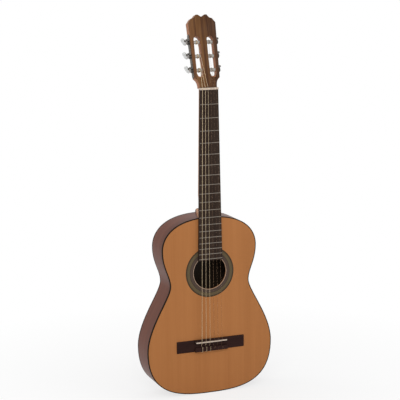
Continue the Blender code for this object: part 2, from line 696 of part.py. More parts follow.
# Tuning machines: plate, lugs, gear and roller, worm and button
def side_frame(side):
    """Middle of a side of the head, local z outwards and local y towards the head's face."""
    half = HEAD_LOW_HALF + (TUNER_MID_S - HEAD_LOW_S) * math.tan(HEAD_TAPER)
    turn = -HEAD_TAPER if side > 0 else math.pi + HEAD_TAPER
    outward = Vector((math.cos(turn), math.sin(turn), 0))
    front = Vector((0, 0, 1))
    along = front.cross(outward)
    axes = Matrix((along, front, outward)).transposed().to_4x4()
    place = Matrix.Translation((side * half, TUNER_MID_S, -TUNER_DEPTH))
    return head_frame() @ place @ axes


def cheek(step):
    """Wood between the side of the head and the slot at one roller."""
    half = HEAD_LOW_HALF + (TUNER_MID_S + step * TUNER_SPACING - HEAD_LOW_S) * math.tan(HEAD_TAPER)
    return (half - SLOT_OUTER) * math.cos(HEAD_TAPER)


def roller_frame(side, step):
    """On the roller's axis at the plate's inner face, local z outwards."""
    return side_frame(side) @ Matrix.Translation((side * step * TUNER_SPACING, 0, CLEAR))


def worm_frame(side, step):
    """On the worm's axis beside the gear, local x towards the gear and local z to the head's face."""
    place = Matrix.Translation((side * (step * TUNER_SPACING + WORM_TO_GEAR), 0, CLEAR + GEAR_PLANE))
    upright = Matrix.Rotation(-math.pi / 2, 4, "X")
    turned = Matrix.Rotation(math.pi if side > 0 else 0, 4, "Z")
    return side_frame(side) @ place @ upright @ turned


def gear_outline():
    """Short straight teeth, one of them pointing at the worm."""
    root = GEAR_TIP_RADIUS - TOOTH_DEPTH
    tip_half = TOOTH_TIP_HALF / GEAR_TIP_RADIUS
    root_half = TOOTH_ROOT_HALF / root
    points = []
    for tooth in range(GEAR_TEETH):
        middle = 2 * math.pi * tooth / GEAR_TEETH
        for radius, turn in ((root, -root_half), (GEAR_TIP_RADIUS, -tip_half),
                             (GEAR_TIP_RADIUS, tip_half), (root, root_half)):
            points.append((radius * math.cos(middle + turn), radius * math.sin(middle + turn)))
    return points


def worm_mesh():
    front = WORM_LENGTH / 2 + RUN_CLEAR + LUG_T + RUN_CLEAR
    back = HEAD_T - TUNER_DEPTH + BUTTON_BEHIND_HEAD
    half = WORM_LENGTH / 2
    profile = [(0, front), (WORM_SHAFT_RADIUS, front), (WORM_SHAFT_RADIUS, half), (WORM_CORE_RADIUS, half),
               (WORM_CORE_RADIUS, -half), (WORM_SHAFT_RADIUS, -half), (WORM_SHAFT_RADIUS, -back), (0, -back)]
    core = bpy.data.objects.new("worm_core", turned_mesh("worm_core", profile, BORE_STEPS))
    TOOLS.objects.link(core)
    count = THREAD_TURNS * THREAD_STEPS
    points = []
    for i in range(count + 1):
        turns = THREAD_TURNS * (i / count - 0.5)
        turn = 2 * math.pi * turns + math.pi
        points.append((THREAD_CENTRE_RADIUS * math.cos(turn), THREAD_CENTRE_RADIUS * math.sin(turn),
                       WORM_LEAD * turns))
    thread = add_tool("worm_thread", tube_mesh("worm_thread", points, THREAD_RADIUS, 0), Matrix())
    combine(core, thread, "UNION")
    return evaluated_mesh(core)


def roller_mesh(step):
    """Steel shaft through the cheek, bone barrel in the slot and a stub in the head's middle bar."""
    collar_out = GEAR_PLANE - GEAR_T / 2 - CLEAR
    collar_in = PLATE_T + RUN_CLEAR
    slot = SLOT_OUTER - SLOT_INNER
    start = -CLEAR - cheek(step) - RUN_CLEAR - CLEAR
    end = start - slot + 2 * (RUN_CLEAR + CLEAR)
    tip = end - BAR_SOCKET
    profile = [(0, collar_out), (COLLAR_RADIUS, collar_out), (COLLAR_RADIUS, collar_in),
               (SHAFT_RADIUS, collar_in), (SHAFT_RADIUS, start), (BARREL_RADIUS, start),
               (BARREL_RADIUS, end), (SHAFT_RADIUS, end), (SHAFT_RADIUS, tip), (0, tip)]
    return turned_mesh("roller", profile)


def button_mesh():
    work = bmesh.new()
    bmesh.ops.create_uvsphere(work, u_segments=ROUND_STEPS, v_segments=BUTTON_RINGS, radius=0.5)
    bmesh.ops.scale(work, vec=(BUTTON_WIDTH, BUTTON_T, BUTTON_LENGTH), verts=work.verts)
    mesh = bpy.data.meshes.new("button")
    work.to_mesh(mesh)
    work.free()
    return mesh


def make_plate(side, name):
    half = PLATE_HEIGHT / 2
    reach = PLATE_LENGTH / 2 - half
    loop = []
    for i in range(2 * END_STEPS):
        turn = math.pi * (i // END_STEPS + (i % END_STEPS) / (END_STEPS - 1)) - math.pi / 2
        end = reach if i < END_STEPS else -reach
        loop.append((end + half * math.cos(turn), half * math.sin(turn)))
    holes = []
    for step in (-1, 0, 1):
        holes.append(circle(SHAFT_RADIUS + RUN_CLEAR, BORE_STEPS, (side * step * TUNER_SPACING, 0)))
    place = Matrix.Translation((0, 0, CLEAR + PLATE_T))
    plate = add_part(name, flat_mesh(name, [loop] + holes, PLATE_T), side_frame(side) @ place, NICKEL)
    lug_gap = WORM_LENGTH / 2 + RUN_CLEAR + LUG_T / 2
    journal = 2 * lug_gap + 4 * LUG_T
    for step in (-1, 0, 1):
        for end in (-1, 1):
            tag = "%s_lug_%d_%d" % (name, step, end)
            mesh = box_mesh(tag, (LUG_WIDTH, LUG_REACH, LUG_T))
            mesh.transform(Matrix.Translation((0, LUG_REACH / 2 - GEAR_PLANE + PLATE_T / 2, end * lug_gap)))
            flip = Matrix.Rotation(0 if side > 0 else math.pi, 4, "Z")
            combine(plate, add_tool(tag, mesh, worm_frame(side, step) @ flip), "UNION")
        tag = "%s_journal_%d" % (name, step)
        mesh = cylinder_mesh(tag, WORM_SHAFT_RADIUS + RUN_CLEAR, journal, BORE_STEPS)
        combine(plate, add_tool(tag, mesh, worm_frame(side, step)), "DIFFERENCE")


def make_tuners():
    worm = worm_mesh()
    button = button_mesh()
    gear = flat_mesh("gear", [gear_outline()], GEAR_T)
    behind = HEAD_T - TUNER_DEPTH + BUTTON_BEHIND_HEAD + CLEAR + BUTTON_LENGTH / 2
    for side, word in ((-1, "bass"), (1, "treble")):
        make_plate(side, "tuner_plate_" + word)
        for step, place in ((-1, "low"), (0, "mid"), (1, "high")):
            tag = "%s_%s" % (word, place)
            roller = roller_frame(side, step)
            add_part("roller_" + tag, roller_mesh(step), roller, BONE, smooth=True)
            aim = Matrix.Rotation(0 if side > 0 else math.pi, 4, "Z")
            lift = Matrix.Translation((0, 0, GEAR_PLANE + GEAR_T / 2))
            add_part("gear_" + tag, gear.copy(), roller @ lift @ aim, NICKEL)
            axis = worm_frame(side, step)
            add_part("worm_" + tag, worm.copy(), axis, NICKEL, smooth=True)
            rear = Matrix.Translation((0, 0, -behind))
            add_part("button_" + tag, button.copy(), axis @ rear, PEARL, smooth=True)


# Bridge and saddle
def make_bridge():
    middle = SADDLE_Z + (BRIDGE_ABOVE_SADDLE - BRIDGE_BELOW_SADDLE) / 2
    height = BRIDGE_ABOVE_SADDLE + BRIDGE_BELOW_SADDLE
    wings = box_mesh("bridge", (BRIDGE_LENGTH, height, WING_T))
    place = front_frame() @ Matrix.Translation((0, middle, CLEAR + WING_T / 2))
    bridge = add_part("bridge", wings, place, ROSEWOOD)
    saddle_block = BRIDGE_ABOVE_SADDLE + SADDLE_BLOCK_BELOW - 2 * CLEAR
    lows = (SADDLE_Z - SADDLE_BLOCK_BELOW, SADDLE_Z - BRIDGE_BELOW_SADDLE + CLEAR)
    for name, low, width, top in (("saddle_block", lows[0], saddle_block, SADDLE_BLOCK_T),
                                  ("tie_block", lows[1], TIE_BLOCK_WIDTH, TIE_BLOCK_T)):
        inside = WING_T / 2
        mesh = box_mesh(name, (SADDLE_BLOCK_LENGTH, width, top - inside))
        spot = Matrix.Translation((0, low + width / 2, (top + inside) / 2))
        combine(bridge, add_tool(name, mesh, front_frame() @ spot), "UNION")
    slot_size = (SADDLE_LENGTH + 2 * CLEAR, SADDLE_T + 2 * CLEAR, SADDLE_TOP)
    spot = Matrix.Translation((0, SADDLE_Z, SADDLE_SEAT - CLEAR + SADDLE_TOP / 2))
    slot = add_tool("saddle_slot", box_mesh("saddle_slot", slot_size), front_frame() @ spot)
    combine(bridge, slot, "DIFFERENCE")
    for number in range(len(STRING_RADII)):
        x = string_x(number, SADDLE_STRING_SPAN)
        name = "tie_hole_%d" % (number + 1)
        mesh = cylinder_mesh(name, TIE_HOLE_RADIUS, TIE_BLOCK_WIDTH + 2 * RUN_CLEAR, BORE_STEPS)
        mesh.transform(Matrix.Rotation(math.pi / 2, 4, "X"))
        spot = Matrix.Translation((x, lows[1] + TIE_BLOCK_WIDTH / 2, TIE_HOLE_HEIGHT))
        combine(bridge, add_tool(name, mesh, front_frame() @ spot), "DIFFERENCE")
    saddle = box_mesh("saddle", (SADDLE_LENGTH, SADDLE_T, SADDLE_TOP - SADDLE_SEAT))
    spot = Matrix.Translation((0, SADDLE_Z, (SADDLE_TOP + SADDLE_SEAT) / 2))
    add_part("saddle", saddle, front_frame() @ spot, BONE)


# Strings: tied at the bridge, over saddle and nut, wound on the rollers
STRING_ROLLERS = ((-1, -1), (-1, 0), (-1, 1), (1, 1), (1, 0), (1, -1))


def string_x(number, span):
    return span * (number / (len(STRING_RADII) - 1) - 0.5)


def string_route(number, radius):
    side, step = STRING_ROLLERS[number]
    x = string_x(number, SADDLE_STRING_SPAN)
    over = TIE_BLOCK_T + CLEAR + radius
    rear = SADDLE_Z - BRIDGE_BELOW_SADDLE - CLEAR - radius
    front = SADDLE_Z - BRIDGE_BELOW_SADDLE + TIE_BLOCK_WIDTH
    tie_rise = (over + TIE_HOLE_HEIGHT) / 2
    knot = x + TIE_OFFSET
    saddle_top = SADDLE_TOP + CLEAR + radius
    nut_top = NUT_TOP + CLEAR + radius
    flat = [(knot, front + 2 * CLEAR, over), (knot, front - TIE_BLOCK_WIDTH / 2, over),
            (knot, rear + radius, over), (knot, rear, over - radius), (x + TIE_OFFSET / 2, rear, tie_rise),
            (x, rear, TIE_HOLE_HEIGHT + radius), (x, rear + radius, TIE_HOLE_HEIGHT),
            (x, front, TIE_HOLE_HEIGHT), (x, SADDLE_Z - SADDLE_T / 2 - CLEAR, saddle_top - CLEAR),
            (x, SADDLE_Z, saddle_top),
            (string_x(number, NUT_STRING_SPAN), NUT_Z, nut_top),
            (string_x(number, NUT_STRING_SPAN), NUT_Z + NUT_T, nut_top)]
    route = [front_frame() @ Vector(point) for point in flat]
    frame = roller_frame(side, step)
    ring = BARREL_RADIUS + CLEAR + radius
    inward = cheek(step) + SLOT_OUTER - WIND_START
    coil = []
    count = WIND_TURNS * WIND_POINTS
    pitch = 2 * radius + WIND_GAP
    for i in range(count + 1):
        turn = math.pi / 2 - side * 2 * math.pi * i / WIND_POINTS
        out = -inward + pitch * i / WIND_POINTS
        coil.append(frame @ Vector((ring * math.cos(turn), ring * math.sin(turn), out)))
    return route, coil


def least_gap(points, radius):
    """Smallest free space between stretches that aren't next to each other along the string."""
    least = None
    for i, first in enumerate(points):
        for second in points[i + WIND_POINTS // 2:]:
            gap = (first - second).length - 2 * radius
            least = gap if least is None else min(least, gap)
    return least


def make_strings():
    for number, radius in enumerate(STRING_RADII):
        name = "string_%d" % (len(STRING_RADII) - number)
        route, coil = string_route(number, radius)
        print(name, "least gap to itself in mm: %.2f" % (1000 * least_gap(coil, radius)))
        material = WOUND if number < 3 else NYLON
        add_part(name, tube_mesh(name, route + coil, radius), Matrix(), material, smooth=True)


make_soundboard()
make_back_and_edges()
make_sides()
make_linings()
make_blocks()
make_top_braces()
make_back_braces()
make_neck()
make_fingerboard()
make_head()
make_tuners()
make_bridge()
make_strings()
bpy.context.view_layer.update()
print("nodes:", sum(1 for obj in PARTS.objects if obj.type == "MESH"))
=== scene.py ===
# %% [markdown]
# A classical guitar, dressed for a studio picture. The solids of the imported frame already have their
# real places and sizes. This lesson gives every surface its finish, and replaces coarse solids by
# smooth ones of the same size. Each is built in the frame's own metres, because then nothing has to be
# fitted afterwards.

# %% Load the frame
import json
from math import atan2, copysign, cos, degrees, hypot, pi, radians, sin, tan

import bmesh
import bpy
from mathutils import Matrix, Vector


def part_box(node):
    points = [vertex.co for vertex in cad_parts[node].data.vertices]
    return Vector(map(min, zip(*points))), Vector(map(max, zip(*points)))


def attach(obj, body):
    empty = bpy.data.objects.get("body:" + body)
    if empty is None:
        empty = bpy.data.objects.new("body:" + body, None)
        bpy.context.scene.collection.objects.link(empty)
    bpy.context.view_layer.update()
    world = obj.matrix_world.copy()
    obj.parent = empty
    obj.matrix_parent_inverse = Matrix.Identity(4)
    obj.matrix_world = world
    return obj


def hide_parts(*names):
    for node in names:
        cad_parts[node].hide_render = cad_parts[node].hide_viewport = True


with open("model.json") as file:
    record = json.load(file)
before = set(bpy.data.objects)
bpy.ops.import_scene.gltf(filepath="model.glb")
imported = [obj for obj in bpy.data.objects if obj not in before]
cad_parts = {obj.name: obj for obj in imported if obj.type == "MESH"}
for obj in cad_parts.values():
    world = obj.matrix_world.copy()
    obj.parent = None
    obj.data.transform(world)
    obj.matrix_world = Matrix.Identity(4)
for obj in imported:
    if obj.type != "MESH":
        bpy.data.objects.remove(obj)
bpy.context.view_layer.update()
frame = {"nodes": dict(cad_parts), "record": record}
scene = bpy.context.scene
scene.view_settings.view_transform = "Standard"
print("nodes in the frame:", len(frame["nodes"]))

# %% [markdown]
# The photograph was taken from the guitar's left and a little above, with a long lens. The camera could
# be set by eye. These angles come from a fit to the frets, the nut, the saddle and the sound hole,
# because then the render lines up with the photograph almost to the pixel.

# %% Camera
CAMERA_YAW = radians(21.42)
CAMERA_PITCH = radians(-10.424)
CAMERA_ROLL = radians(-0.557)
CAMERA_DISTANCE = 3.4165
CAMERA_LENS = 121.32
CAMERA_AIM_SIDE = -0.0251
CAMERA_AIM_UP = 0.5120
face_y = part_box("soundboard")[0].y


def link_object(name, data):
    obj = bpy.data.objects.new(name, data)
    scene.collection.objects.link(obj)
    return obj


def add_camera():
    ahead = Vector((sin(CAMERA_YAW) * cos(CAMERA_PITCH),
                    cos(CAMERA_YAW) * cos(CAMERA_PITCH), sin(CAMERA_PITCH)))
    level = Vector((cos(CAMERA_YAW), -sin(CAMERA_YAW), 0))
    upright = level.cross(ahead)
    right = level * cos(CAMERA_ROLL) + upright * sin(CAMERA_ROLL)
    up = upright * cos(CAMERA_ROLL) - level * sin(CAMERA_ROLL)
    data = bpy.data.cameras.new("camera")
    data.lens = CAMERA_LENS
    camera = link_object("camera", data)
    turn = Matrix((right, up, -ahead)).transposed().to_4x4()
    aim = Vector((CAMERA_AIM_SIDE, face_y, CAMERA_AIM_UP))
    camera.matrix_world = Matrix.Translation(aim - ahead * CAMERA_DISTANCE) @ turn
    scene.camera = camera
    return camera


camera = add_camera()
print("camera at", [round(v, 3) for v in camera.matrix_world.translation])

# %% [markdown]
# Every finish below is a tree of nodes. It could be wired socket by socket, which takes a line for each
# wire. Here one helper adds a node with its settings and feeds its inputs, each with a plain value or
# with another node's output, so a tree reads like a recipe. The other helpers add the kinds that come
# back often.

# %% Helpers for nodes
def set_all(thing, settings):
    for name, value in settings.items():
        setattr(thing, name, value)


def feed(tree, node, inputs):
    for name, value in inputs.items():
        if isinstance(value, bpy.types.NodeSocket):
            tree.links.new(value, node.inputs[name])
        else:
            node.inputs[name].default_value = value


def add_node(tree, kind, inputs, **settings):
    node = tree.nodes.new("ShaderNode" + kind)
    set_all(node, settings)
    feed(tree, node, inputs)
    return node.outputs


def new_material(name):
    material = bpy.data.materials.new(name)
    material.use_nodes = True
    return material, material.node_tree, material.node_tree.nodes["Principled BSDF"]


def add_math(tree, operation, *values):
    return add_node(tree, "Math", dict(enumerate(values)), operation=operation)[0]


def add_range(tree, value, low, high, start=0.0, end=1.0):
    """Map a value that runs from start to end onto the range from low to high."""
    limits = {"From Min": start, "From Max": end, "To Min": low, "To Max": high}
    return add_node(tree, "MapRange", {"Value": value, **limits})["Result"]


def mix_shaders(tree, amount, first, second):
    return add_node(tree, "MixShader", {0: amount, 1: first, 2: second})[0]


def coordinates(tree, kind="Object"):
    return add_node(tree, "TexCoord", {})[kind]


print("node helpers ready")

# %% [markdown]
# The studio is plain: a white floor, a white surrounding and large soft lamps. A picture of a real
# studio could light it too, but would need a file. The white is only for rays that reach the camera
# directly, from mirrors and through clear pieces, so the light on the wood can stay at a level where
# its colours look right.

# %% Studio
FLOOR_SIZE = 12.0
FLOOR_DROP = 0.0006
FLOOR_COLOUR = (0.9, 0.9, 0.9, 1)
FLOOR_ROUGHNESS = 0.9
FADE_START = 0.15
FADE_END = 0.9
FADE_NEAR = 0.72
SKY_LIGHT = 0.56
WHITE = (1, 1, 1, 1)
LAMP_AIM = Vector((0, 0, 0.45))
# Each lamp's name, place, size and power
LAMPS = (("key_lamp", (-1.2, -2.6, 2.2), 1.6, 39),
         ("fill_lamp", (2.2, -2.0, 1.2), 1.8, 18),
         ("rim_lamp", (-2.2, 1.6, 1.8), 1.4, 16))


def link_white(tree, lit, white, output):
    """Show the white shader to camera, mirror and clear rays, and the lit one to all others."""
    rays = add_node(tree, "LightPath", {})
    direct = add_math(tree, "MAXIMUM", rays["Is Camera Ray"], rays["Is Glossy Ray"])
    seen = add_math(tree, "MAXIMUM", direct, rays["Is Transmission Ray"])
    feed(tree, tree.nodes[output], {"Surface": mix_shaders(tree, seen, lit, white)})


def add_world():
    world = bpy.data.worlds.new("studio")
    scene.world = world
    world.use_nodes = True
    tree = world.node_tree
    lit = tree.nodes["Background"]
    feed(tree, lit, {"Color": WHITE, "Strength": SKY_LIGHT})
    plain = add_node(tree, "Background", {"Color": WHITE, "Strength": 1.0})
    link_white(tree, lit.outputs[0], plain[0], "World Output")


def add_floor():
    """A floor that keeps the guitar's shadow near it and fades to plain white further off."""
    bpy.ops.mesh.primitive_plane_add(size=FLOOR_SIZE, location=(0, 0, -FLOOR_DROP))
    floor = bpy.context.object
    floor.name = "floor"
    material, tree, paint = new_material("floor_white")
    feed(tree, paint, {"Base Color": FLOOR_COLOUR, "Roughness": FLOOR_ROUGHNESS})
    glow = add_node(tree, "Emission", {"Strength": 1.0})[0]
    far = add_node(tree, "VectorMath", {0: coordinates(tree)}, operation="LENGTH")["Value"]
    fade = add_range(tree, far, FADE_NEAR, 1.0, FADE_START, FADE_END)
    lit = paint.outputs[0]
    link_white(tree, lit, mix_shaders(tree, fade, lit, glow), "Material Output")
    floor.data.materials.append(material)


def add_lamp(name, place, size, power):
    data = bpy.data.lights.new(name, "AREA")
    data.size = size
    data.energy = power
    lamp = link_object(name, data)
    lamp.location = place
    lamp.rotation_euler = (LAMP_AIM - lamp.location).to_track_quat("-Z", "Y").to_euler()


add_world()
add_floor()
for lamp in LAMPS:
    add_lamp(*lamp)
print("studio lamps:", len(LAMPS))

# %% [markdown]
# Wood is the main finish here. On a real board the eye sees broad streaks, fine fibres along them, and
# a lacquer that is a little uneven. Photographs of wood could be wrapped round the pieces, but nodes
# stay sharp at any distance and need no file. So the grain is two noises that are stretched along the
# fibres.

# %% Grain
FIBRE_DARKNESS = 0.55
FIBRE_LOW = 0.34
FIBRE_HIGH = 0.62
LACQUER_SPREAD = 0.07
WOOD_BUMP = 0.25


def add_noise(tree, vector, stretch, detail, roughness):
    place = add_node(tree, "Mapping", {"Vector": vector, "Scale": stretch})[0]
    inputs = {"Vector": place, "Scale": 1.0, "Detail": detail, "Roughness": roughness}
    return add_node(tree, "TexNoise", inputs)["Fac"]


def add_ramp(tree, factor, stops, kind="LINEAR"):
    ramp = add_node(tree, "ValToRGB", {"Fac": factor})["Color"]
    colours = ramp.node.color_ramp
    colours.interpolation = kind
    while len(colours.elements) < len(stops):
        colours.elements.new(0.5)
    for element, (place, colour) in zip(colours.elements, stops):
        element.position = place
        element.color = (*colour, 1)
    return ramp


def mix_colours(tree, first, second, amount, kind="MIX"):
    inputs = {"Factor": amount, "A": first, "B": second}
    return add_node(tree, "Mix", inputs, data_type="RGBA", blend_type=kind)["Result"]


def add_bump(tree, height, distance, strength=1.0):
    inputs = {"Height": height, "Distance": distance, "Strength": strength}
    return add_node(tree, "Bump", inputs)["Normal"]


def grain_vector(tree, attribute):
    """Object coordinates, or the length along a bent board where a piece carries it."""
    if not attribute:
        return coordinates(tree)
    return add_node(tree, "Attribute", {}, attribute_name=attribute)["Vector"]


def wood(name, pale, middle, dark, broad, fine, roughness, fibre=0.25, specular=0.3, spread=0.2,
         relief=0.00012, attribute=None):
    """A board whose broad streaks and fine fibres follow the stretch of two noises."""
    material, tree, paint = new_material(name)
    vector = grain_vector(tree, attribute)
    streaks = add_noise(tree, vector, broad, detail=5.0, roughness=0.62)
    fibres = add_noise(tree, vector, fine, detail=3.0, roughness=0.7)
    base = add_ramp(tree, streaks, ((0.5 - spread, dark), (0.5, middle), (0.5 + spread, pale)))
    shadow = tuple(FIBRE_DARKNESS * v for v in dark)
    lines = add_ramp(tree, fibres, ((FIBRE_LOW, shadow), (FIBRE_HIGH, pale)))
    feed(tree, paint, {
        "Base Color": mix_colours(tree, base, lines, fibre),
        "Roughness": add_range(tree, fibres, roughness - LACQUER_SPREAD, roughness + LACQUER_SPREAD),
        "Specular IOR Level": specular,
        "Normal": add_bump(tree, fibres, relief, WOOD_BUMP)})
    return material


print("grain from two noises, fibres darker by %d %%" % round(100 * (1 - FIBRE_DARKNESS)))

# %% [markdown]
# A cedar top, mahogany back and sides, a cedrela neck and dark boards under the strings are usual on
# such a guitar. One material could serve all the reddish woods, but each board has its own tone in the
# photograph. The two stretches of each run along its own fibres: up the body, along the bridge, or
# round a bent side. The head, linings and blocks take a darker copy of the neck's cedrela, and the
# braces a dark spruce: both are painted shade, of a side seen edge-on and of the inside of the body.

# %% Wood finishes
CEDAR = wood("cedar_top", (0.395, 0.158, 0.050), (0.375, 0.148, 0.046), (0.350, 0.136, 0.041),
             (46, 8, 1.2), (520, 60, 6), 0.42, fibre=0.10, specular=0.12)
MAHOGANY = wood("mahogany_back_inner_shade", (0.165, 0.050, 0.030), (0.125, 0.036, 0.020), (0.085, 0.023, 0.013),
                (34, 20, 2.0), (420, 200, 9), 0.40, specular=0.08)
MAHOGANY_BENT = wood("mahogany_sides", (0.165, 0.049, 0.025), (0.125, 0.035, 0.017),
                     (0.085, 0.022, 0.010), (2.0, 34, 34), (9, 420, 420), 0.36, specular=0.09,
                     attribute="along")
# Painted shade: a darker copy of the neck's cedrela below, for the head's sides seen edge-on and the
# linings and blocks inside the body.
SHADED_CEDRELA = wood("cedrela_shaded_copy", (0.44, 0.200, 0.105), (0.36, 0.155, 0.078), (0.27, 0.110, 0.054),
               (60, 40, 2.5), (600, 400, 11), 0.45, specular=0.1)
NECK_WOOD = wood("cedrela_heel", (0.57, 0.290, 0.148), (0.475, 0.228, 0.110), (0.38, 0.170, 0.079),
                 (60, 40, 2.5), (600, 400, 11), 0.45, specular=0.1)
HEAD_FACE = wood("striped_head_veneer", (0.300, 0.150, 0.062), (0.195, 0.090, 0.034),
                 (0.092, 0.037, 0.019), (110, 14, 1.6), (620, 60, 9), 0.40, fibre=0.15, specular=0.1,
                 spread=0.14)
EBONY = wood("dark_fingerboard", (0.043, 0.028, 0.021), (0.033, 0.021, 0.016), (0.024, 0.015, 0.012),
             (70, 40, 4), (700, 400, 16), 0.55, fibre=0.15, specular=0.04)
BRIDGE_WOOD = wood("dark_bridge", (0.032, 0.014, 0.012), (0.026, 0.011, 0.009), (0.018, 0.008, 0.007),
                   (5, 40, 60), (18, 400, 600), 0.50, specular=0.05, relief=0.0002)
# Painted shade: the braces are far darker than spruce, for the shade inside the closed body.
SPRUCE_PAINTED_SHADE = wood("spruce_braces_painted_shade", (0.100, 0.065, 0.036), (0.080, 0.050, 0.028), (0.060, 0.038, 0.020),
              (80, 60, 3), (700, 500, 12), 0.70, specular=0.05)
EDGE = wood("black_edging", (0.022, 0.014, 0.009), (0.015, 0.010, 0.007), (0.009, 0.006, 0.005),
            (60, 60, 6), (500, 500, 30), 0.50, specular=0.02)
print("finishes so far:", len(bpy.data.materials))

# %% [markdown]
# Two boards aren't alike all over. The back is lacquered outside and bare inside, and its inner face,
# seen through the hole, gets a near black that is painted shade of the closed body. The head's veneer
# is paler at one edge and darker towards the other. Faces could get materials of their own, but a
# second colour over the grain is simpler: by the way a face looks, or the place across it.

# %% Painted inner shade and the head's graded veneer
# Painted shade for the back's inner face, seen through the hole
INSIDE_PAINTED_SHADE = (0.030, 0.020, 0.013, 1)
INWARD = -0.5
HEAD_REACH = 0.036
HEAD_SHADES = ((0.0, (1.0, 1.0, 1.0)), (0.25, (0.70, 0.66, 0.62)), (0.70, (0.62, 0.60, 0.60)),
               (0.95, (0.32, 0.30, 0.42)))


def split_coordinates(tree, kind="Object"):
    return add_node(tree, "SeparateXYZ", {0: coordinates(tree, kind)})


def colour_entry(material):
    """A material's tree, its paint, and the grain that colours it so far."""
    tree = material.node_tree
    paint = tree.nodes["Principled BSDF"]
    return tree, paint, paint.inputs["Base Color"].links[0].from_socket


def paint_inside_shade(material):
    """Give the face that looks into the body a near black: painted shade of the closed body."""
    tree, paint, lacquered = colour_entry(material)
    inside = add_math(tree, "LESS_THAN", split_coordinates(tree, "Normal")["Y"], INWARD)
    feed(tree, paint, {"Base Color": mix_colours(tree, lacquered, INSIDE_PAINTED_SHADE, inside)})


def shade_across(material):
    """Make a board paler at one edge and darker towards the other, by multiplying its grain."""
    tree, paint, grain = colour_entry(material)
    place = add_range(tree, split_coordinates(tree)["X"], 0.0, 1.0, -HEAD_REACH, HEAD_REACH)
    shade = add_ramp(tree, place, HEAD_SHADES)
    feed(tree, paint, {"Base Color": mix_colours(tree, grain, shade, 1.0, "MULTIPLY")})


paint_inside_shade(MAHOGANY)
shade_across(HEAD_FACE)
print("shades across the head:", len(HEAD_SHADES))

# %% [markdown]
# The other finishes are bone, metal, pearl and nylon. A plain colour would make them all look like
# plastic, so each gets some life from a noise: bone has faint clouds, metal has fine brushing and a
# little dulling, pearl has soft milky bands. Nylon is clear, so most light goes straight through it.

# %% Other finishes
CLOUD_LOW = 0.32
CLOUD_HIGH = 0.68
CLOUD_SHINE = 0.08
CLOUD_RELIEF = 0.00005
CLOUD_BUMP = 0.2
METAL = 1.0
NYLON_ALPHA = 0.24
NYLON_SPECULAR = 0.02


def clouded(name, pale, dark, stretch, roughness, metallic=0.0, coat=0.0):
    material, tree, paint = new_material(name)
    clouds = add_noise(tree, coordinates(tree), stretch, detail=4.0, roughness=0.6)
    feed(tree, paint, {
        "Base Color": add_ramp(tree, clouds, ((CLOUD_LOW, dark), (CLOUD_HIGH, pale))),
        "Roughness": add_range(tree, clouds, roughness - CLOUD_SHINE, roughness + CLOUD_SHINE),
        "Metallic": metallic,
        "Coat Weight": coat,
        "Normal": add_bump(tree, clouds, CLOUD_RELIEF, CLOUD_BUMP)})
    return material


BONE = clouded("bone", (0.57, 0.465, 0.38), (0.49, 0.395, 0.315), (160, 160, 160), 0.42)
BARREL = clouded("roller_bone", (0.46, 0.44, 0.40), (0.33, 0.31, 0.28), (160, 160, 160), 0.38)
NICKEL = clouded("nickel_plate", (0.30, 0.29, 0.28), (0.17, 0.165, 0.16), (300, 300, 60), 0.40, METAL)
STEEL = clouded("oiled_steel", (0.115, 0.096, 0.074), (0.060, 0.050, 0.039), (300, 300, 60), 0.40, METAL)
FRET_METAL = clouded("fret_wire", (0.27, 0.235, 0.20), (0.20, 0.172, 0.145), (260, 260, 260), 0.36, METAL)
PEARL = clouded("pearl_button", (0.72, 0.73, 0.72), (0.55, 0.56, 0.55), (220, 90, 140), 0.25, coat=0.3)
NYLON = clouded("clear_nylon", (0.25, 0.155, 0.095), (0.21, 0.130, 0.080), (90, 90, 90), 0.70)
feed(NYLON.node_tree, NYLON.node_tree.nodes["Principled BSDF"],
     {"Alpha": NYLON_ALPHA, "Specular IOR Level": NYLON_SPECULAR})
print("nylon lets through %d %% of the light" % round(100 * (1 - NYLON_ALPHA)))

# %% [markdown]
# A bass string is a core with fine plated wire wound round it. The wire could be a real helix, but at a
# tenth of a millimetre it would cost a million faces, so a wave along the string gives its turns, with
# painted shade in the grooves between them.

# %% Wound strings
WIRE_SCALE = 900.0
WIRE_RELIEF = 0.0001
# The bright end is the wire's own colour; the dark end is painted shade in the grooves between turns.
WIRE_AND_GROOVE_SHADE = ((0.2, (0.39, 0.30, 0.19)), (0.8, (0.86, 0.68, 0.44)))
WIRE_METALLIC = 0.9
WIRE_ROUGHNESS = 0.32


def wound_finish():
    material, tree, paint = new_material("wound_bass_groove_shade")
    inputs = {"Vector": coordinates(tree), "Scale": WIRE_SCALE}
    wire = add_node(tree, "TexWave", inputs, bands_direction="Z")["Fac"]
    feed(tree, paint, {"Base Color": add_ramp(tree, wire, WIRE_AND_GROOVE_SHADE), "Metallic": WIRE_METALLIC,
                       "Roughness": WIRE_ROUGHNESS, "Normal": add_bump(tree, wire, WIRE_RELIEF)})
    return material


WOUND = wound_finish()
print("finishes so far:", len(bpy.data.materials))

# %% [markdown]
# Braces, linings, inner blocks and the heel cap are plain sticks and boards on the real guitar. They
# could be modelled again, but they are hardly seen and their solids already have the right shape, so
# they keep their meshes and only get a finish. Everything else is replaced further on by a smoother
# piece.

# %% Finish the nodes that stay
def finish_node(name, material):
    mesh = frame["nodes"][name].data
    mesh.materials.clear()
    mesh.materials.append(material)


# Braces get spruce and linings and blocks cedrela, both painted darker as shade inside the body.
for node in frame["nodes"]:
    if node.startswith(("fan_brace", "back_brace", "upper_bar", "lower_bar", "bridge_patch")):
        finish_node(node, SPRUCE_PAINTED_SHADE)
    elif node.endswith(("_lining", "_block")):
        finish_node(node, SHADED_CEDRELA)
    elif node == "heel_cap":
        finish_node(node, EDGE)
print("inner pieces finished")

# %% [markdown]
# The body's rim is a smooth line of bouts and a waist. It could be traced point by point, but four
# curves on each half stay smooth: shoulder, upper bout to waist, waist to lower bout, and tail. The
# lower bout's width and the length are measured on the frame, and the handles say how round each
# stretch is.

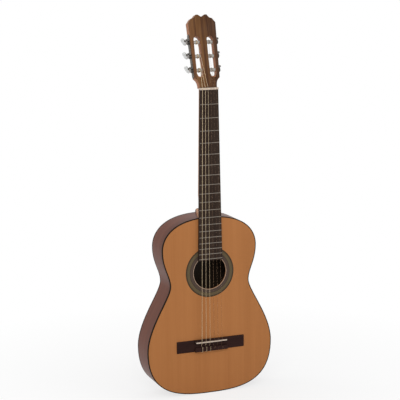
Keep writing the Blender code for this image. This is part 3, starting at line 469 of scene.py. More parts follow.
# %% Body outline
BODY_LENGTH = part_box("top_binding")[1].z
# Half width, height, and the handles above and below each knot
UPPER_BOUT = (0.1290, BODY_LENGTH - 0.0814, 0.0305, 0.0441)
WAIST = (0.1082, BODY_LENGTH - 0.1738, 0.0277, 0.0291)
LOWER_BOUT = (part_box("top_binding")[1].x, BODY_LENGTH - 0.3425, 0.0665, 0.1209)
SHOULDER_HANDLE = 0.1080
TAIL_HANDLE = 0.0753
OUTLINE_STEPS = 26


def bezier(start, first, second, end, steps):
    """Points of a cubic curve, with its start and without its end."""
    points = []
    for i in range(steps):
        t = i / steps
        u = 1 - t
        weights = (u ** 3, 3 * u * u * t, 3 * u * t * t, t ** 3)
        corners = (start, first, second, end)
        points.append(tuple(sum(w * c[axis] for w, c in zip(weights, corners)) for axis in (0, 1)))
    return points


def rim_points():
    """The treble half of the rim, from the neck to the tail."""
    knot = (0, BODY_LENGTH)
    handle = (SHOULDER_HANDLE, BODY_LENGTH)
    points = []
    for x, z, above, below in (UPPER_BOUT, WAIST, LOWER_BOUT):
        points += bezier(knot, handle, (x, z + above), (x, z), OUTLINE_STEPS)
        knot = (x, z)
        handle = (x, z - below)
    return points + bezier(knot, handle, (TAIL_HANDLE, 0), (0, 0), OUTLINE_STEPS) + [(0, 0)]


def half_outline(inset):
    """The half rim, each point moved in square to the line between its neighbours."""
    points = rim_points()
    mirrored = [(-x, z) for x, z in (points[1], points[-2])]
    padded = mirrored[:1] + points + mirrored[1:]
    moved = []
    for before, (x, z), after in zip(padded, points, padded[2:]):
        along = Vector((after[0] - before[0], after[1] - before[1])).normalized()
        moved.append((x + along.y * inset, z - along.x * inset))
    return moved


def outline(inset):
    half = half_outline(inset)
    return half + [(-x, z) for x, z in reversed(half[1:-1])]


print("outline points:", len(outline(0)))

# %% [markdown]
# Most of the guitar is boards: flat outlines with a thickness, whose edges sandpaper has taken off.
# Cubes and cuts could make them, but a filled 2D curve takes any outline with holes, and becomes a mesh
# that can be shaped further. A small bevel is the sandpaper. Every finished piece then rides on one
# body of the frame.

# %% Boards and pieces
GUITAR = "guitar"
GUIDE = "guide"
WELD_DISTANCE = 1e-6


def lift(height):
    return Matrix.Translation((0, 0, height))


def bmesh_to(work, mesh):
    work.to_mesh(mesh)
    work.free()
    return mesh


def settle(data, *modifiers):
    """Turn a mesh or a curve, with its modifiers, into one plain welded mesh."""
    guide = link_object(GUIDE, data)
    for kind, settings in modifiers:
        set_all(guide.modifiers.new(kind, kind), settings)
    bpy.context.view_layer.update()
    evaluated = guide.evaluated_get(bpy.context.evaluated_depsgraph_get())
    mesh = bpy.data.meshes.new_from_object(evaluated)
    bpy.data.objects.remove(guide)
    work = bmesh.new()
    work.from_mesh(mesh)
    bmesh.ops.remove_doubles(work, verts=work.verts, dist=WELD_DISTANCE)
    bmesh.ops.recalc_face_normals(work, faces=work.faces)
    return bmesh_to(work, mesh)


def bevel_mesh(mesh, width, segments=3, angle=35):
    return settle(mesh, ("BEVEL", {"width": width, "segments": segments, "limit_method": "ANGLE",
                                   "angle_limit": radians(angle)}))


def new_curve(loops, closed, **settings):
    curve = bpy.data.curves.new(GUIDE, "CURVE")
    set_all(curve, settings)
    for loop in loops:
        spline = curve.splines.new("POLY")
        spline.points.add(len(loop) - 1)
        for point, place in zip(spline.points, loop):
            point.co = (*place, 1)
        spline.use_cyclic_u = closed
    return curve


def board_mesh(loops, thickness, bevel=0, segments=3, angle=35):
    """Filled outlines, the later ones as holes, with the front face at local z = 0."""
    flat = [[(x, y, 0) for x, y in loop] for loop in loops]
    mesh = settle(new_curve(flat, True, dimensions="2D", fill_mode="BOTH", extrude=thickness / 2))
    mesh.transform(lift(-thickness / 2))
    return bevel_mesh(mesh, bevel, segments, angle) if bevel else mesh


def add_piece(name, mesh, matrix, material, body=GUITAR, replaces=None, sharp=40):
    """Put a mesh in the frame's own coordinates, shade it and let it ride on a body."""
    mesh.transform(matrix)
    mesh.name = name
    mesh.materials.clear()
    mesh.materials.append(material)
    mesh.shade_smooth()
    mesh.set_sharp_from_angle(angle=radians(sharp))
    piece = link_object(name, mesh)
    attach(piece, body)
    if replaces:
        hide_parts(replaces)
    return piece


print("pieces ride on", GUITAR, "unless another body is named")

# %% [markdown]
# The soundboard is cedar, with a round hole and a thin black edging, a strip glued into a step of the
# rim. The back leans, because the body is deeper at the tail than at the neck. A lean could be a turn
# of the whole board, but then its rim would leave the sides, so only the rear vertices are moved back
# in step.

# %% Soundboard, edging and back
BINDING_WIDTH = 0.0022
BINDING_HEIGHT = 0.0045
BINDING_BEVEL = 0.0006
SEAM = 0.00006
TOP_THICKNESS = 0.0025
TOP_BEVEL = 0.0003
BACK_THICKNESS = 0.0028
DEPTH_AT_NECK = 0.0765
BACK_SLOPE = (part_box("back")[1].y - face_y - DEPTH_AT_NECK) / (BODY_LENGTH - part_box("back")[0].z)
HOLE_RADIUS = 0.0445
hole_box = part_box("rosette")
HOLE_Z = (hole_box[0].z + hole_box[1].z) / 2
ROUND = 96


def arc(centre, radius, start, sweep, steps):
    """Points along part of a circle, with both ends."""
    turns = [start + sweep * i / steps for i in range(steps + 1)]
    return [(centre[0] + radius * cos(a), centre[1] + radius * sin(a)) for a in turns]


def circle(radius, steps, centre=(0, 0)):
    return arc(centre, radius, 0, 2 * pi, steps)[:-1]


def front_frame(forward=0.0):
    """Local x to the treble side, local y up, local z out of the front, from the soundboard's face."""
    return Matrix.Translation((0, face_y - forward, 0)) @ Matrix.Rotation(pi / 2, 4, "X")


def lean_to_back(mesh, behind):
    for vertex in mesh.vertices:
        if vertex.co.z < -behind:
            vertex.co.z -= BACK_SLOPE * (BODY_LENGTH - vertex.co.y)


def make_plates_and_edging():
    hole = circle(HOLE_RADIUS, ROUND, (0, HOLE_Z))
    top = board_mesh([outline(BINDING_WIDTH + SEAM), hole], TOP_THICKNESS, TOP_BEVEL)
    add_piece("soundboard_top", top, front_frame(), CEDAR, replaces="soundboard")
    ring = [outline(0), outline(BINDING_WIDTH)]
    front = board_mesh(ring, BINDING_HEIGHT, BINDING_BEVEL)
    add_piece("front_edging", front, front_frame(), EDGE, replaces="top_binding")
    rear = board_mesh(ring, BINDING_HEIGHT, BINDING_BEVEL)
    rear.transform(lift(BINDING_HEIGHT - DEPTH_AT_NECK))
    lean_to_back(rear, 0)
    add_piece("rear_edging", rear, front_frame(), EDGE, replaces="back_binding")
    back = board_mesh([outline(BINDING_WIDTH + SEAM)], BACK_THICKNESS)
    back.transform(lift(BACK_THICKNESS - DEPTH_AT_NECK))
    lean_to_back(back, 0)
    add_piece("back_plate", back, front_frame(), MAHOGANY, replaces="back")


make_plates_and_edging()
print("body length %.3f m, lean of the back %.4f" % (BODY_LENGTH, BACK_SLOPE))

# %% [markdown]
# Each side is a thin board, bent over heat, and its grain runs round the bend. The bend could be done
# with a curve modifier, but a board whose outline is the rim and the same rim moved in is already bent.
# The length along the rim is stored on every vertex, so the grain can follow it.

# %% Bent sides
SIDE_THICKNESS = 0.0020
SIDE_GRAIN_SHIFT = 0.3


def mark_length(mesh, sign):
    """Store how far along the bent side each vertex lies, for the grain."""
    rim = rim_points()
    lengths = [0.0]
    for (x0, z0), (x1, z1) in zip(rim, rim[1:]):
        lengths.append(lengths[-1] + hypot(x1 - x0, z1 - z0))
    layer = mesh.attributes.new("along", "FLOAT_VECTOR", "POINT")
    for vertex, value in zip(mesh.vertices, layer.data):
        x = sign * vertex.co.x
        z = vertex.co.y
        nearest = min(range(len(rim)), key=lambda i: (rim[i][0] - x) ** 2 + (rim[i][1] - z) ** 2)
        value.vector = (lengths[nearest], vertex.co.z, SIDE_GRAIN_SHIFT * sign)


def make_side(name, sign, node):
    loop = half_outline(0) + list(reversed(half_outline(SIDE_THICKNESS)))
    loop = [(sign * max(x, SEAM), z) for x, z in loop]
    side = board_mesh([loop], DEPTH_AT_NECK - 2 * (BINDING_HEIGHT + SEAM))
    side.transform(lift(-BINDING_HEIGHT - SEAM))
    lean_to_back(side, DEPTH_AT_NECK / 2)
    mark_length(side, sign)
    add_piece(name, side, front_frame(), MAHOGANY_BENT, replaces=node)


make_side("bent_side_treble", 1, "side_treble")
make_side("bent_side_bass", -1, "side_bass")
print("sides %.1f mm thick" % (1000 * SIDE_THICKNESS))

# %% [markdown]
# The rosette is a ring of fine wooden lines and small end-grain tiles, let into the soundboard. It
# could be modelled tile by tile, but at this size the pattern is a finish: the distance from the hole's
# centre picks the ring, and the angle picks the tile. A pale line of maple lies between the rosette and
# the hole.

# %% Rosette
MAPLE_WIDTH = 0.0016
ROSETTE_OUTER = (hole_box[1].x - hole_box[0].x) / 2
ROSETTE_INNER = HOLE_RADIUS + MAPLE_WIDTH
ROSETTE_PROUD = 0.00008
ROSETTE_DEPTH = 0.0008
ROSETTE_ROUGHNESS = 0.42
ROSETTE_SPECULAR = 0.12
BLACK = (0.024, 0.017, 0.011)
BROWN = (0.066, 0.043, 0.032)
OLIVE = (0.092, 0.067, 0.034)
BAND_START = 0.44
BAND_END = 0.82
RINGS = ((0.0, BLACK), (0.05, BROWN), (0.40, BLACK), (BAND_START, OLIVE), (BAND_END, BLACK),
         (0.86, OLIVE), (0.90, BLACK))
WEAVE = ((0.15, (0.120, 0.089, 0.046)), (0.45, (0.092, 0.066, 0.033)), (0.75, (0.055, 0.039, 0.022)))
TILE_COUNT = 120
TILE_ROWS = 9.0
TILE_STRENGTH = 0.75


def rosette_finish():
    """Rings by the distance from the hole's centre, and a band of tiles by the angle round it."""
    material, tree, paint = new_material("rosette_inlay")
    place = split_coordinates(tree)
    up = add_math(tree, "SUBTRACT", place["Z"], HOLE_Z)
    squares = add_math(tree, "ADD", add_math(tree, "MULTIPLY", place["X"], place["X"]),
                       add_math(tree, "MULTIPLY", up, up))
    beyond = add_math(tree, "SUBTRACT", add_math(tree, "SQRT", squares), ROSETTE_INNER)
    share = add_math(tree, "DIVIDE", beyond, ROSETTE_OUTER - ROSETTE_INNER)
    rings = add_ramp(tree, share, RINGS, "CONSTANT")
    angle = add_math(tree, "ARCTAN2", place["X"], up)
    tile = add_math(tree, "FRACT", add_math(tree, "MULTIPLY", angle, TILE_COUNT / (2 * pi)))
    row = add_math(tree, "FRACT", add_math(tree, "MULTIPLY", share, TILE_ROWS))
    tiles = add_ramp(tree, add_math(tree, "ABSOLUTE", add_math(tree, "SUBTRACT", tile, row)), WEAVE)
    inside = add_math(tree, "MULTIPLY", add_math(tree, "GREATER_THAN", share, BAND_START),
                      add_math(tree, "LESS_THAN", share, BAND_END))
    colour = mix_colours(tree, rings, tiles, add_math(tree, "MULTIPLY", inside, TILE_STRENGTH))
    feed(tree, paint, {"Base Color": colour, "Roughness": ROSETTE_ROUGHNESS,
                       "Specular IOR Level": ROSETTE_SPECULAR})
    return material


def ring_mesh(outer, inner, depth):
    return board_mesh([circle(radius, ROUND, (0, HOLE_Z)) for radius in (outer, inner)], depth)


ring = ring_mesh(ROSETTE_OUTER, ROSETTE_INNER, ROSETTE_DEPTH)
add_piece("rosette_ring", ring, front_frame(ROSETTE_PROUD), rosette_finish(), replaces="rosette")
MAPLE = wood("maple_line", (0.40, 0.27, 0.19), (0.35, 0.235, 0.165), (0.30, 0.20, 0.14),
             (90, 90, 30), (500, 500, 200), 0.45, fibre=0.15)
line = ring_mesh(ROSETTE_INNER - SEAM, HOLE_RADIUS + SEAM, ROSETTE_PROUD)
add_piece("hole_line", line, front_frame(ROSETTE_PROUD), MAPLE)
print("rosette from %.1f to %.1f mm" % (1000 * ROSETTE_INNER, 1000 * ROSETTE_OUTER))

# %% [markdown]
# The neck is one piece with its heel: half round under the fingerboard, swelling into a flat-footed
# heel at the body, and thickening a little where the head begins. It could be sculpted, but a loft
# through sections keeps every measure, and the sections may change shape along the way.

# %% Neck and heel
NUT_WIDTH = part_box("nut")[1].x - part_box("nut")[0].x
NUT_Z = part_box("nut")[0].z
NUT_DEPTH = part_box("nut")[1].z - NUT_Z
TWELFTH_WIDTH = 0.0605
SCALE_LENGTH = 0.650
HEAD_TILT = radians(14.8)
HEAD_DEPTH = 0.0162
NECK_DEPTH = 0.0152
NECK_DEPTH_AT_HEEL = 0.0172
NECK_SIDE_ROUND = 0.85
NECK_BACK_ROUND = 0.9
HEEL_RISE = 0.0560
HEEL_FOOT = 0.0090
HEEL_FOOT_HALF = 0.0090
HEEL_SINK = 0.0012
HEEL_CAP_DEPTH = 0.0030
HEEL_CURVE = 1.7
HEEL_FADE = 0.6
# The heel's foot has a flat on each side and one at the rear
FOOT_FLATS = 3
CLEAR = 0.0003
HEAD_Z = NUT_Z + NUT_DEPTH + CLEAR
SECTION_POINTS = 36
LOFT_STEPS = 24


def loft_mesh(sections):
    """Skin equal loops of points from end to end and cap both ends."""
    work = bmesh.new()
    rings = [[work.verts.new(point) for point in section] for section in sections]
    count = len(rings[0])
    for low, high in zip(rings, rings[1:]):
        for i in range(count):
            j = (i + 1) % count
            work.faces.new((low[i], low[j], high[j], high[i]))
    work.faces.new(rings[0])
    work.faces.new(rings[-1])
    bmesh.ops.recalc_face_normals(work, faces=work.faces)
    return bmesh_to(work, bpy.data.meshes.new(GUIDE))


def signed_power(value, power):
    """A power that keeps the sign, to make an oval squarer or leaner."""
    return copysign(abs(value) ** power, value)


def neck_half_width(z):
    slope = (TWELFTH_WIDTH - NUT_WIDTH) / (SCALE_LENGTH / 2)
    return (NUT_WIDTH + slope * max(NUT_Z - z, 0)) / 2


def neck_section(rise, depth, foot, flare):
    """A loop between half round and the heel's foot, leaning back by the flare."""
    z = BODY_LENGTH + rise
    half = neck_half_width(z)
    points = []
    for i in range(SECTION_POINTS):
        share = i / (SECTION_POINTS - 1)
        turn = pi * share
        round_x = half * signed_power(cos(turn), NECK_SIDE_ROUND)
        round_y = depth * max(sin(turn), 0) ** NECK_BACK_ROUND
        side = min(FOOT_FLATS * min(share, 1 - share), 1)
        heel_x = copysign(half + (HEEL_FOOT_HALF - half) * side, 0.5 - share)
        if side == 1:
            heel_x = HEEL_FOOT_HALF * 2 * FOOT_FLATS * (0.5 - share)
        x = round_x + (heel_x - round_x) * foot
        y = round_y + (depth * side - round_y) * foot
        points.append((x, face_y + y, z - flare * y))
    return points


def make_neck():
    heel_depth = DEPTH_AT_NECK - HEEL_CAP_DEPTH - CLEAR
    sections = [neck_section(rise, heel_depth, 1, 0) for rise in (-HEEL_SINK, HEEL_FOOT)]
    for i in range(1, LOFT_STEPS + 1):
        share = i / LOFT_STEPS
        rise = HEEL_FOOT + (HEEL_RISE - HEEL_FOOT) * share ** 2
        depth = NECK_DEPTH_AT_HEEL + (heel_depth - NECK_DEPTH_AT_HEEL) * (1 - share) ** HEEL_CURVE
        sections.append(neck_section(rise, depth, (1 - share) ** HEEL_FADE, 0))
    top_rise = HEAD_Z - CLEAR - BODY_LENGTH
    start = top_rise - 2 * HEAD_DEPTH
    for i in range(LOFT_STEPS + 1):
        share = i / LOFT_STEPS
        swell = share * share * (3 - 2 * share)
        depth = NECK_DEPTH + (HEAD_DEPTH / cos(HEAD_TILT) - NECK_DEPTH) * swell
        rise = start + (top_rise - start) * share
        sections.append(neck_section(rise, depth, 0, tan(HEAD_TILT) * swell))
    mesh = loft_mesh(sections)
    add_piece("neck_and_heel", mesh, Matrix(), NECK_WOOD, replaces="neck")


make_neck()
print("neck from z = %.3f to %.3f m" % (BODY_LENGTH, HEAD_Z))

# %% [markdown]
# The fingerboard is a dark tapered board with nineteen frets. A fret is a crowned wire with a tang in
# the board. It could be a row of cylinders, but a half ellipse drawn out to the board's width has the
# low crown of real wire and ends that slope in. The places follow the rule of the twelfth root of two.

# %% Fingerboard and frets
BOARD_DEPTH = 0.0065
BOARD_BEVEL = 0.0005
BOARD_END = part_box("fingerboard")[0].z
BOARD_FACE = CLEAR + BOARD_DEPTH
FRET_COUNT = 19
FRET_WIDTH = 0.0022
FRET_HEIGHT = 0.0010
FRET_TANG = 0.0008
TANG_HALF = FRET_WIDTH / 6
FRET_INSET = 0.0002
FRET_END_SLOPE = 0.0006
CROWN_STEPS = 10


def make_fingerboard():
    top = NUT_Z - SEAM
    loop = [(-neck_half_width(top), top), (neck_half_width(top), top),
            (neck_half_width(BOARD_END), BOARD_END), (-neck_half_width(BOARD_END), BOARD_END)]
    board = board_mesh([loop], BOARD_FACE - SEAM, BOARD_BEVEL)
    place = front_frame(BOARD_FACE)
    add_piece("fingerboard_dark", board, place, EBONY, replaces="fingerboard")


def fret_mesh(z):
    """A crowned wire with its tang in the board and ends that slope in."""
    half = neck_half_width(z) - FRET_INSET
    turns = [pi * i / CROWN_STEPS for i in range(CROWN_STEPS + 1)]
    section = [(FRET_WIDTH / 2 * cos(a), FRET_HEIGHT * sin(a)) for a in turns]
    section += [(-TANG_HALF, -FRET_TANG), (TANG_HALF, -FRET_TANG)]
    ends = []
    for side in (-1, 1):
        ends.append([(side * (half - FRET_END_SLOPE * max(out, 0) / FRET_HEIGHT),
                      face_y - BOARD_FACE - out, z + up) for up, out in section])
    return loft_mesh(ends)


make_fingerboard()
for number in range(1, FRET_COUNT + 1):
    fret = fret_mesh(NUT_Z - SCALE_LENGTH * (1 - 2 ** (-number / 12)))
    add_piece("fret_%02d" % number, fret, Matrix(), FRET_METAL)
print("frets:", FRET_COUNT)

# %% [markdown]
# The slotted head leans back from the nut. It has a notched crest with two lobes, a small step on each
# side, straight tapering sides and hollow shoulders. The slots are holes in its outline. The ramps,
# which let the strings down to the rollers, lie askew to the outline, so they are cut afterwards with
# tilted boxes.

# %% Head and veneer
HEAD_NECK_HALF = 0.0228
HEAD_HOLLOW = 0.0150
HEAD_SWELL = (0.0275, 0.0200)
HEAD_LOW = (0.0329, 0.0240)
HEAD_CORNER = (0.0366, 0.1641)
HEAD_CREST = ((0.0283, 0.1749), (0.0211, 0.1770), (0.0146, 0.1847), (0.0092, 0.1847))
HEAD_BEVEL = 0.0008
NOTCH_S = 0.1788
SHOULDER_STEPS = 14
SLOT_INNER = 0.0085
SLOT_OUTER = 0.0268
SLOT_MIDDLE = (SLOT_INNER + SLOT_OUTER) / 2
SLOT_LOW = 0.0282
SLOT_HIGH = 0.1303
END_STEPS = 16
VENEER_DEPTH = 0.0020
VENEER_BEVEL = 0.0004
TUNER_DEPTH = 0.0080
TUNER_MID = 0.0803
TUNER_SPACING = 0.0355
BARREL_RADIUS = 0.0048
RAMP_LENGTH = 0.0300
RAMP_WIDTH = 0.0130
RAMP_BEVEL = 0.0010
RAMP_BELOW_STRING = 0.0016
NUT_TOP = face_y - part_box("nut")[0].y


def head_frame():
    turn = Matrix.Rotation(pi / 2 - HEAD_TILT, 4, "X")
    return Matrix.Translation((0, face_y, HEAD_Z)) @ turn


def head_outline():
    shoulder = bezier((HEAD_NECK_HALF, 0), (HEAD_NECK_HALF, HEAD_HOLLOW), HEAD_SWELL, HEAD_LOW,
                      SHOULDER_STEPS)
    half = shoulder + [HEAD_LOW, HEAD_CORNER] + list(HEAD_CREST)
    return half + [(0, NOTCH_S)] + [(-x, s) for x, s in reversed(half)]


def head_slot(sign):
    radius = (SLOT_OUTER - SLOT_INNER) / 2
    upper = arc((sign * SLOT_MIDDLE, SLOT_HIGH - radius), radius, 0, pi, END_STEPS)
    return upper + arc((sign * SLOT_MIDDLE, SLOT_LOW + radius), radius, pi, pi, END_STEPS)


def box_mesh(size, bevel):
    work = bmesh.new()
    bmesh.ops.create_cube(work, size=1)
    bmesh.ops.scale(work, vec=size, verts=work.verts)
    return bevel_mesh(bmesh_to(work, bpy.data.meshes.new(GUIDE)), bevel)


def cut_mesh(mesh, cutters):
    """Take the shapes of the cutters out of a mesh."""
    tools = [link_object(GUIDE, cutter) for cutter in cutters]
    cuts = [("BOOLEAN", {"object": tool, "operation": "DIFFERENCE"}) for tool in tools]
    result = settle(mesh, *cuts)
    for tool in tools:
        bpy.data.objects.remove(tool)
    return result


def cut_ramps(mesh):
    """Slope the lower end of each slot just under its string."""
    fall = atan2(NUT_TOP + TUNER_DEPTH - BARREL_RADIUS, TUNER_MID - TUNER_SPACING)
    ramps = []
    for side in (1, -1):
        ramp = box_mesh((RAMP_WIDTH, RAMP_LENGTH, RAMP_LENGTH), RAMP_BEVEL)
        ramp.transform(lift(RAMP_LENGTH / 2 - RAMP_BELOW_STRING))
        place = (side * SLOT_MIDDLE, SLOT_LOW, NUT_TOP - SLOT_LOW * tan(fall))
        ramp.transform(Matrix.Translation(place) @ Matrix.Rotation(-fall, 4, "X"))
        ramps.append(ramp)
    return cut_mesh(mesh, ramps)


def make_head():
    loops = [head_outline(), head_slot(1), head_slot(-1)]
    core = cut_ramps(board_mesh(loops, HEAD_DEPTH))
    core = bevel_mesh(core, HEAD_BEVEL, segments=2)
    add_piece("head_wood", core, head_frame(), SHADED_CEDRELA, replaces="headstock")
    face = board_mesh(loops, VENEER_DEPTH + CLEAR - SEAM)
    face.transform(lift(VENEER_DEPTH + CLEAR))
    face = bevel_mesh(cut_ramps(face), VENEER_BEVEL, segments=2)
    add_piece("head_face", face, head_frame(), HEAD_FACE, replaces="head_veneer")


make_head()
print("head leans back %.1f degrees" % degrees(HEAD_TILT))

# %% [markdown]
# The nut and the saddle are bone. The nut has six slots that hold the strings, and the saddle's top
# falls a little to both ends. Slots could be cut with cylinders, but the nut is an even bar, so its
# section with the slots in it is drawn once and given a depth, and the saddle is made in the same way.

# %% Nut and saddle
STRING_RADII = (0.00054, 0.00045, 0.00037, 0.00051, 0.00041, 0.00036)
NUT_SPAN = 0.0382
NUT_CREST = 0.0002
NUT_BEVEL = 0.0004
NOTCH_RISE = 0.0003
NOTCH_STEPS = 6
SADDLE_SPAN = 0.0559
saddle_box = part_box("saddle")
SADDLE_Z = (saddle_box[0].z + saddle_box[1].z) / 2
SADDLE_DEPTH = saddle_box[1].z - saddle_box[0].z
SADDLE_HALF = (saddle_box[1].x - saddle_box[0].x) / 2
SADDLE_TOP = face_y - saddle_box[0].y
SADDLE_SEAT = face_y - saddle_box[1].y
SADDLE_FALL = 0.0012
SADDLE_BEVEL = 0.0009
SADDLE_STEPS = 12
BONE_ANGLE = 60


def string_x(number, span):
    return span * (number / (len(STRING_RADII) - 1) - 0.5)


def saddle_top_at(x):
    return SADDLE_TOP - SADDLE_FALL * (x / SADDLE_HALF) ** 2


def stand_on_end(z):
    """Local x to the treble side, local y out of the front, local z down the neck."""
    return Matrix.Translation((0, face_y, z)) @ Matrix.Diagonal((1, -1, -1, 1))


def make_nut():
    half = NUT_WIDTH / 2
    crest = [(-half, CLEAR), (half, CLEAR), (half, NUT_TOP + NUT_CREST)]
    for number in reversed(range(len(STRING_RADII))):
        middle = (string_x(number, NUT_SPAN), NUT_TOP + NOTCH_RISE)
        crest += arc(middle, STRING_RADII[number], 0, -pi, NOTCH_STEPS)
    crest.append((-half, NUT_TOP + NUT_CREST))
    mesh = board_mesh([crest], NUT_DEPTH, NUT_BEVEL, segments=2, angle=BONE_ANGLE)
    add_piece("nut_bone", mesh, stand_on_end(NUT_Z), BONE, replaces="nut")


def make_saddle():
    crest = [(-SADDLE_HALF, SADDLE_SEAT), (SADDLE_HALF, SADDLE_SEAT)]
    for i in range(SADDLE_STEPS + 1):
        x = SADDLE_HALF * (1 - 2 * i / SADDLE_STEPS)
        crest.append((x, saddle_top_at(x)))
    mesh = board_mesh([crest], SADDLE_DEPTH, SADDLE_BEVEL, segments=4, angle=BONE_ANGLE)
    place = stand_on_end(SADDLE_Z - SADDLE_DEPTH / 2)
    add_piece("saddle_bone", mesh, place, BONE, replaces="saddle")


make_nut()
make_saddle()
print("saddle stands %.1f mm over the soundboard" % (1000 * SADDLE_TOP))

# %% [markdown]
# The bridge is one dark block on the real guitar: thin wings, a saddle block and a tie block with a
# channel between them. It could be carved from one box with cuts, but here each of these forms is its
# own piece, so the channel and the edges stay crisp. The wings are a loft, because they get thinner
# towards their tips.

# %% Bridge
bridge_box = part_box("bridge")
BRIDGE_LENGTH = bridge_box[1].x - bridge_box[0].x
BRIDGE_LOW = bridge_box[0].z
BRIDGE_HIGH = bridge_box[1].z
WING_DEPTH = 0.0042
# Shares of the wing's depth: at its long edges, lost towards the tips, and left at the tips
WING_EDGE = 0.35
WING_FALL = 0.28
WING_TIP = 0.75
WING_DOME = 6
WING_STEPS = 14
WING_SHARES = (0.5, 0.7, 0.9, 0.97, 0.995, 1)
BLOCK_LENGTH = 0.0900
BLOCK_BEVEL = 0.0007
SADDLE_BLOCK_TOP = 0.0085
SADDLE_BLOCK_BELOW = 0.0045
TIE_WIDTH = 0.0115
TIE_TOP = 0.0092
TIE_HOLE_HEIGHT = 0.0062
TIE_LOW = BRIDGE_LOW + CLEAR
TIE_HIGH = TIE_LOW + TIE_WIDTH


def wing_section(x, depth):
    """A low domed section of the bridge's wing at one place along its length."""
    points = [(x, face_y - CLEAR / 2, z) for z in (BRIDGE_HIGH, BRIDGE_LOW)]
    for i in range(WING_STEPS + 1):
        share = i / WING_STEPS
        z = BRIDGE_LOW + (BRIDGE_HIGH - BRIDGE_LOW) * share
        crown = (1 - abs(2 * share - 1) ** WING_DOME) ** 0.5
        points.append((x, face_y - CLEAR - depth * (WING_EDGE + (1 - WING_EDGE) * crown), z))
    return points


def make_wings():
    sections = []
    for share in [-s for s in reversed(WING_SHARES)] + list(WING_SHARES):
        fall = 2 * abs(share) - 1
        depth = WING_DEPTH * (1 - WING_FALL * fall ** 2) * (WING_TIP if fall == 1 else 1)
        sections.append(wing_section(share * BRIDGE_LENGTH / 2, depth))
    mesh = loft_mesh(sections)
    add_piece("bridge_wings", mesh, Matrix(), BRIDGE_WOOD, replaces="bridge")


def make_block(name, low, high, height):
    mesh = box_mesh((BLOCK_LENGTH, high - low, height - WING_DEPTH / 2), BLOCK_BEVEL)
    place = Matrix.Translation((0, (low + high) / 2, (height + WING_DEPTH / 2) / 2))
    add_piece(name, mesh, front_frame() @ place, BRIDGE_WOOD)


make_wings()
slot_half = (SADDLE_DEPTH + CLEAR) / 2
make_block("saddle_block_upper", SADDLE_Z + slot_half, BRIDGE_HIGH - CLEAR, SADDLE_BLOCK_TOP)
make_block("saddle_block_lower", SADDLE_Z - SADDLE_BLOCK_BELOW, SADDLE_Z - slot_half, SADDLE_BLOCK_TOP)
make_block("tie_block", TIE_LOW, TIE_HIGH, TIE_TOP)
print("bridge %.1f mm long" % (1000 * BRIDGE_LENGTH))

# %% [markdown]
# Each tuning machine turns on two hinges: its roller's axis and its worm's axis. The places could be
# written down once more, but the joints in the record already hold both, so the pieces take them from
# there and can't drift away from the hinges. The plates with their lugs and screws stay with the head.

# %% Tuning machine places
SIDES = ("bass", "treble")
HEIGHTS = ("low", "mid", "high")
TAGS = [(side, height) for side in SIDES for height in HEIGHTS]
JOINTS = {joint["name"]: joint for joint in frame["record"]["behaviour"]["joints"]}


def joint_place(name):
    return Vector(JOINTS[name]["pos_m"]), Vector(JOINTS[name]["axis"]).normalized()


def axes_matrix(place, x, z):
    x = (x - z * x.dot(z)).normalized()
    y = z.cross(x)
    return Matrix.Translation(place) @ Matrix((x, y, z)).transposed().to_4x4()


def roller_matrix(tag):
    """On the roller's axis at the plate's inner face: local x to the worm, local z out of the head."""
    place, outward = joint_place("turn_roller_" + tag)
    return axes_matrix(place, joint_place("turn_button_" + tag)[0] - place, outward)


def worm_matrix(tag):
    """On the worm's axis: local x to the gear, local z to the head's face."""
    place, normal = joint_place("turn_button_" + tag)
    return axes_matrix(place, joint_place("turn_roller_" + tag)[0] - place, normal)


for side, height in TAGS:
    tag = side + "_" + height
    print(tag, [round(v, 4) for v in roller_matrix(tag).translation])

# %% [markdown]
# A gear is a small disc with fourteen teeth, and a slotted screw with a domed head holds it. The teeth
# could be cut one by one, but an outline that repeats one tooth round a circle is a board like any
# other. The screw's head is turned from a profile, as on a lathe, and a box cuts the slot.

# %% Gears and screws
PLATE_DEPTH = 0.0012
THREAD_CENTRE = 0.0022
THREAD_RADIUS = 0.00045
RUN_CLEAR = 0.0004
GEAR_TEETH = 14
GEAR_DEPTH = 0.0024
GEAR_TIP = 0.0056
GEAR_ROOT = GEAR_TIP - 2.4 * THREAD_RADIUS
GEAR_PLANE = PLATE_DEPTH + RUN_CLEAR + THREAD_CENTRE + THREAD_RADIUS
ROOT_ROUND = 0.0002
TIP_ROUND = 0.0001
METAL_BEVEL = 0.00015
METAL_ANGLE = 60
SCREW_EDGE = 0.35
SCREW_STEPS = 28
SCREW_SLOT = 3.2
SCREW_SLOT_BEVEL = 0.00002
DOME_STEPS = 6


def turned_mesh(profile, steps=40):
    """Turn (radius, height) points, listed from top to bottom, about local Z."""
    mesh = bpy.data.meshes.new(GUIDE)
    edges = [(i, i + 1) for i in range(len(profile) - 1)]
    mesh.from_pydata([(radius, 0, height) for radius, height in profile], edges, [])
    return settle(mesh, ("SCREW", {"steps": steps, "render_steps": steps, "use_merge_vertices": True,
                                   "merge_threshold": WELD_DISTANCE}))


def gear_mesh():
    """Teeth with sloping flanks, whose half widths are counted in radii of the thread."""
    flank = [(GEAR_ROOT, -1.5), (GEAR_ROOT + ROOT_ROUND, -1.15), (GEAR_TIP - TIP_ROUND, -0.55),
             (GEAR_TIP, -0.3)]
    profile = flank + [(radius, -half) for radius, half in reversed(flank)]
    points = []
    for tooth in range(GEAR_TEETH):
        middle = 2 * pi * tooth / GEAR_TEETH
        for radius, half in profile:
            turn = middle + half * THREAD_RADIUS / radius
            points.append((radius * cos(turn), radius * sin(turn)))
    return board_mesh([points], GEAR_DEPTH, METAL_BEVEL, segments=2, angle=METAL_ANGLE)


